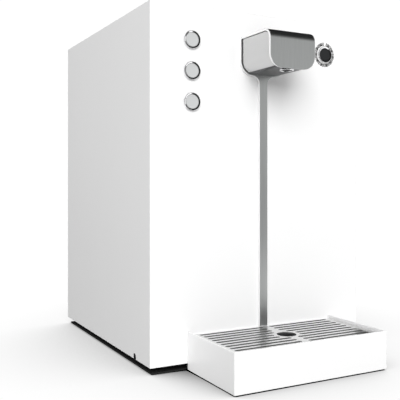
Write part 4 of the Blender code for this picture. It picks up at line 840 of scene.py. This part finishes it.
def makeWorld():
    # White to the eye, soft even light on the object, and a dark studio with three lit walls
    # for the metal to mirror. A wall's span is its low end, high end and blur on each axis.
    studio = {"ambient": 0.52, "seen": 1.05, "dark": 0.015, "left": 0.55, "right": 1.15,
              "front": 0.60, "frontUp": 0.2, "frontDown": 1.5, "slant": 0.44,
              "frontSpan": ((0.05, 0.80, 0.15), (-1.3, -0.2, 0.15), (-0.5, 0.42, 0.24)),
              "leftSpan": ((-1.3, -0.3, 0.15), (0.0, 1.3, 0.15), (-0.3, 0.5, 0.15)),
              "rightSpan": ((0.76, 2.0, 0.05), (-0.75, 0.6, 0.1), (-1.3, 0.45, 0.08))}
    world = bpy.data.worlds.new("studio")
    bpy.context.scene.world = world
    world.use_nodes = True
    tree = world.node_tree
    tree.nodes.clear()
    output = tree.nodes.new("ShaderNodeOutputWorld")
    path = tree.nodes.new("ShaderNodeLightPath")
    split = tree.nodes.new("ShaderNodeSeparateXYZ")
    tree.links.new(tree.nodes.new("ShaderNodeTexCoord").outputs["Generated"], split.inputs[0])
    x, y, z = split.outputs

    def background(strength):
        node = tree.nodes.new("ShaderNodeBackground")
        feed(tree, node.inputs["Color"], (1.0, 1.0, 1.0))
        feed(tree, node.inputs["Strength"], strength)
        return node.outputs[0]

    def band(value, low, high, blur):
        return maths(tree, "MULTIPLY", smoothStep(tree, value, low - blur, low + blur),
                     smoothStep(tree, value, high + blur, high - blur))

    def wall(name, level, across):
        lit = level
        for value, span in zip((across, y, z), studio[name]):
            lit = maths(tree, "MULTIPLY", band(value, *span), lit)
        return lit

    rise = maths(tree, "MULTIPLY", maths(tree, "MAXIMUM", z, 0.0), studio["frontUp"])
    fall = maths(tree, "MULTIPLY", maths(tree, "MINIMUM", z, 0.0), -studio["frontDown"])
    frontLevel = maths(tree, "ADD", maths(tree, "ADD", rise, fall), studio["front"])
    front = wall("frontSpan", frontLevel, x)
    left = wall("leftSpan", studio["left"], x)
    slanted = maths(tree, "SUBTRACT", x, maths(tree, "MULTIPLY", z, studio["slant"]))
    right = wall("rightSpan", studio["right"], slanted)
    level = maths(tree, "ADD", maths(tree, "ADD", front, left), maths(tree, "ADD", right, studio["dark"]))
    first = tree.nodes.new("ShaderNodeMixShader")
    tree.links.new(path.outputs["Is Glossy Ray"], first.inputs[0])
    tree.links.new(background(studio["ambient"]), first.inputs[1])
    tree.links.new(background(level), first.inputs[2])
    second = tree.nodes.new("ShaderNodeMixShader")
    tree.links.new(path.outputs["Is Camera Ray"], second.inputs[0])
    tree.links.new(first.outputs[0], second.inputs[1])
    tree.links.new(background(studio["seen"]), second.inputs[2])
    tree.links.new(second.outputs[0], output.inputs["Surface"])


def makeCamera():
    # Level camera near half the cabinet's height, turned to show the front and the left side.
    eye = {"place": (-0.428, -0.756, 0.212), "turn": 28.0, "lens": 58.6, "shift": -0.0478}
    data = bpy.data.cameras.new("camera")
    data.lens = eye["lens"]
    data.sensor_width = 36.0
    data.shift_y = eye["shift"]
    data.clip_start = 0.01
    camera = bpy.data.objects.new("camera", data)
    bpy.context.scene.collection.objects.link(camera)
    camera.location = eye["place"]
    camera.rotation_euler = (math.radians(90), 0, math.radians(-eye["turn"]))
    bpy.context.scene.camera = camera


makeFloor()
makeWorld()
makeKeyLight()
makeCamera()
bpy.context.scene.view_settings.view_transform = "Standard"
print("stage set")

print("finishing")
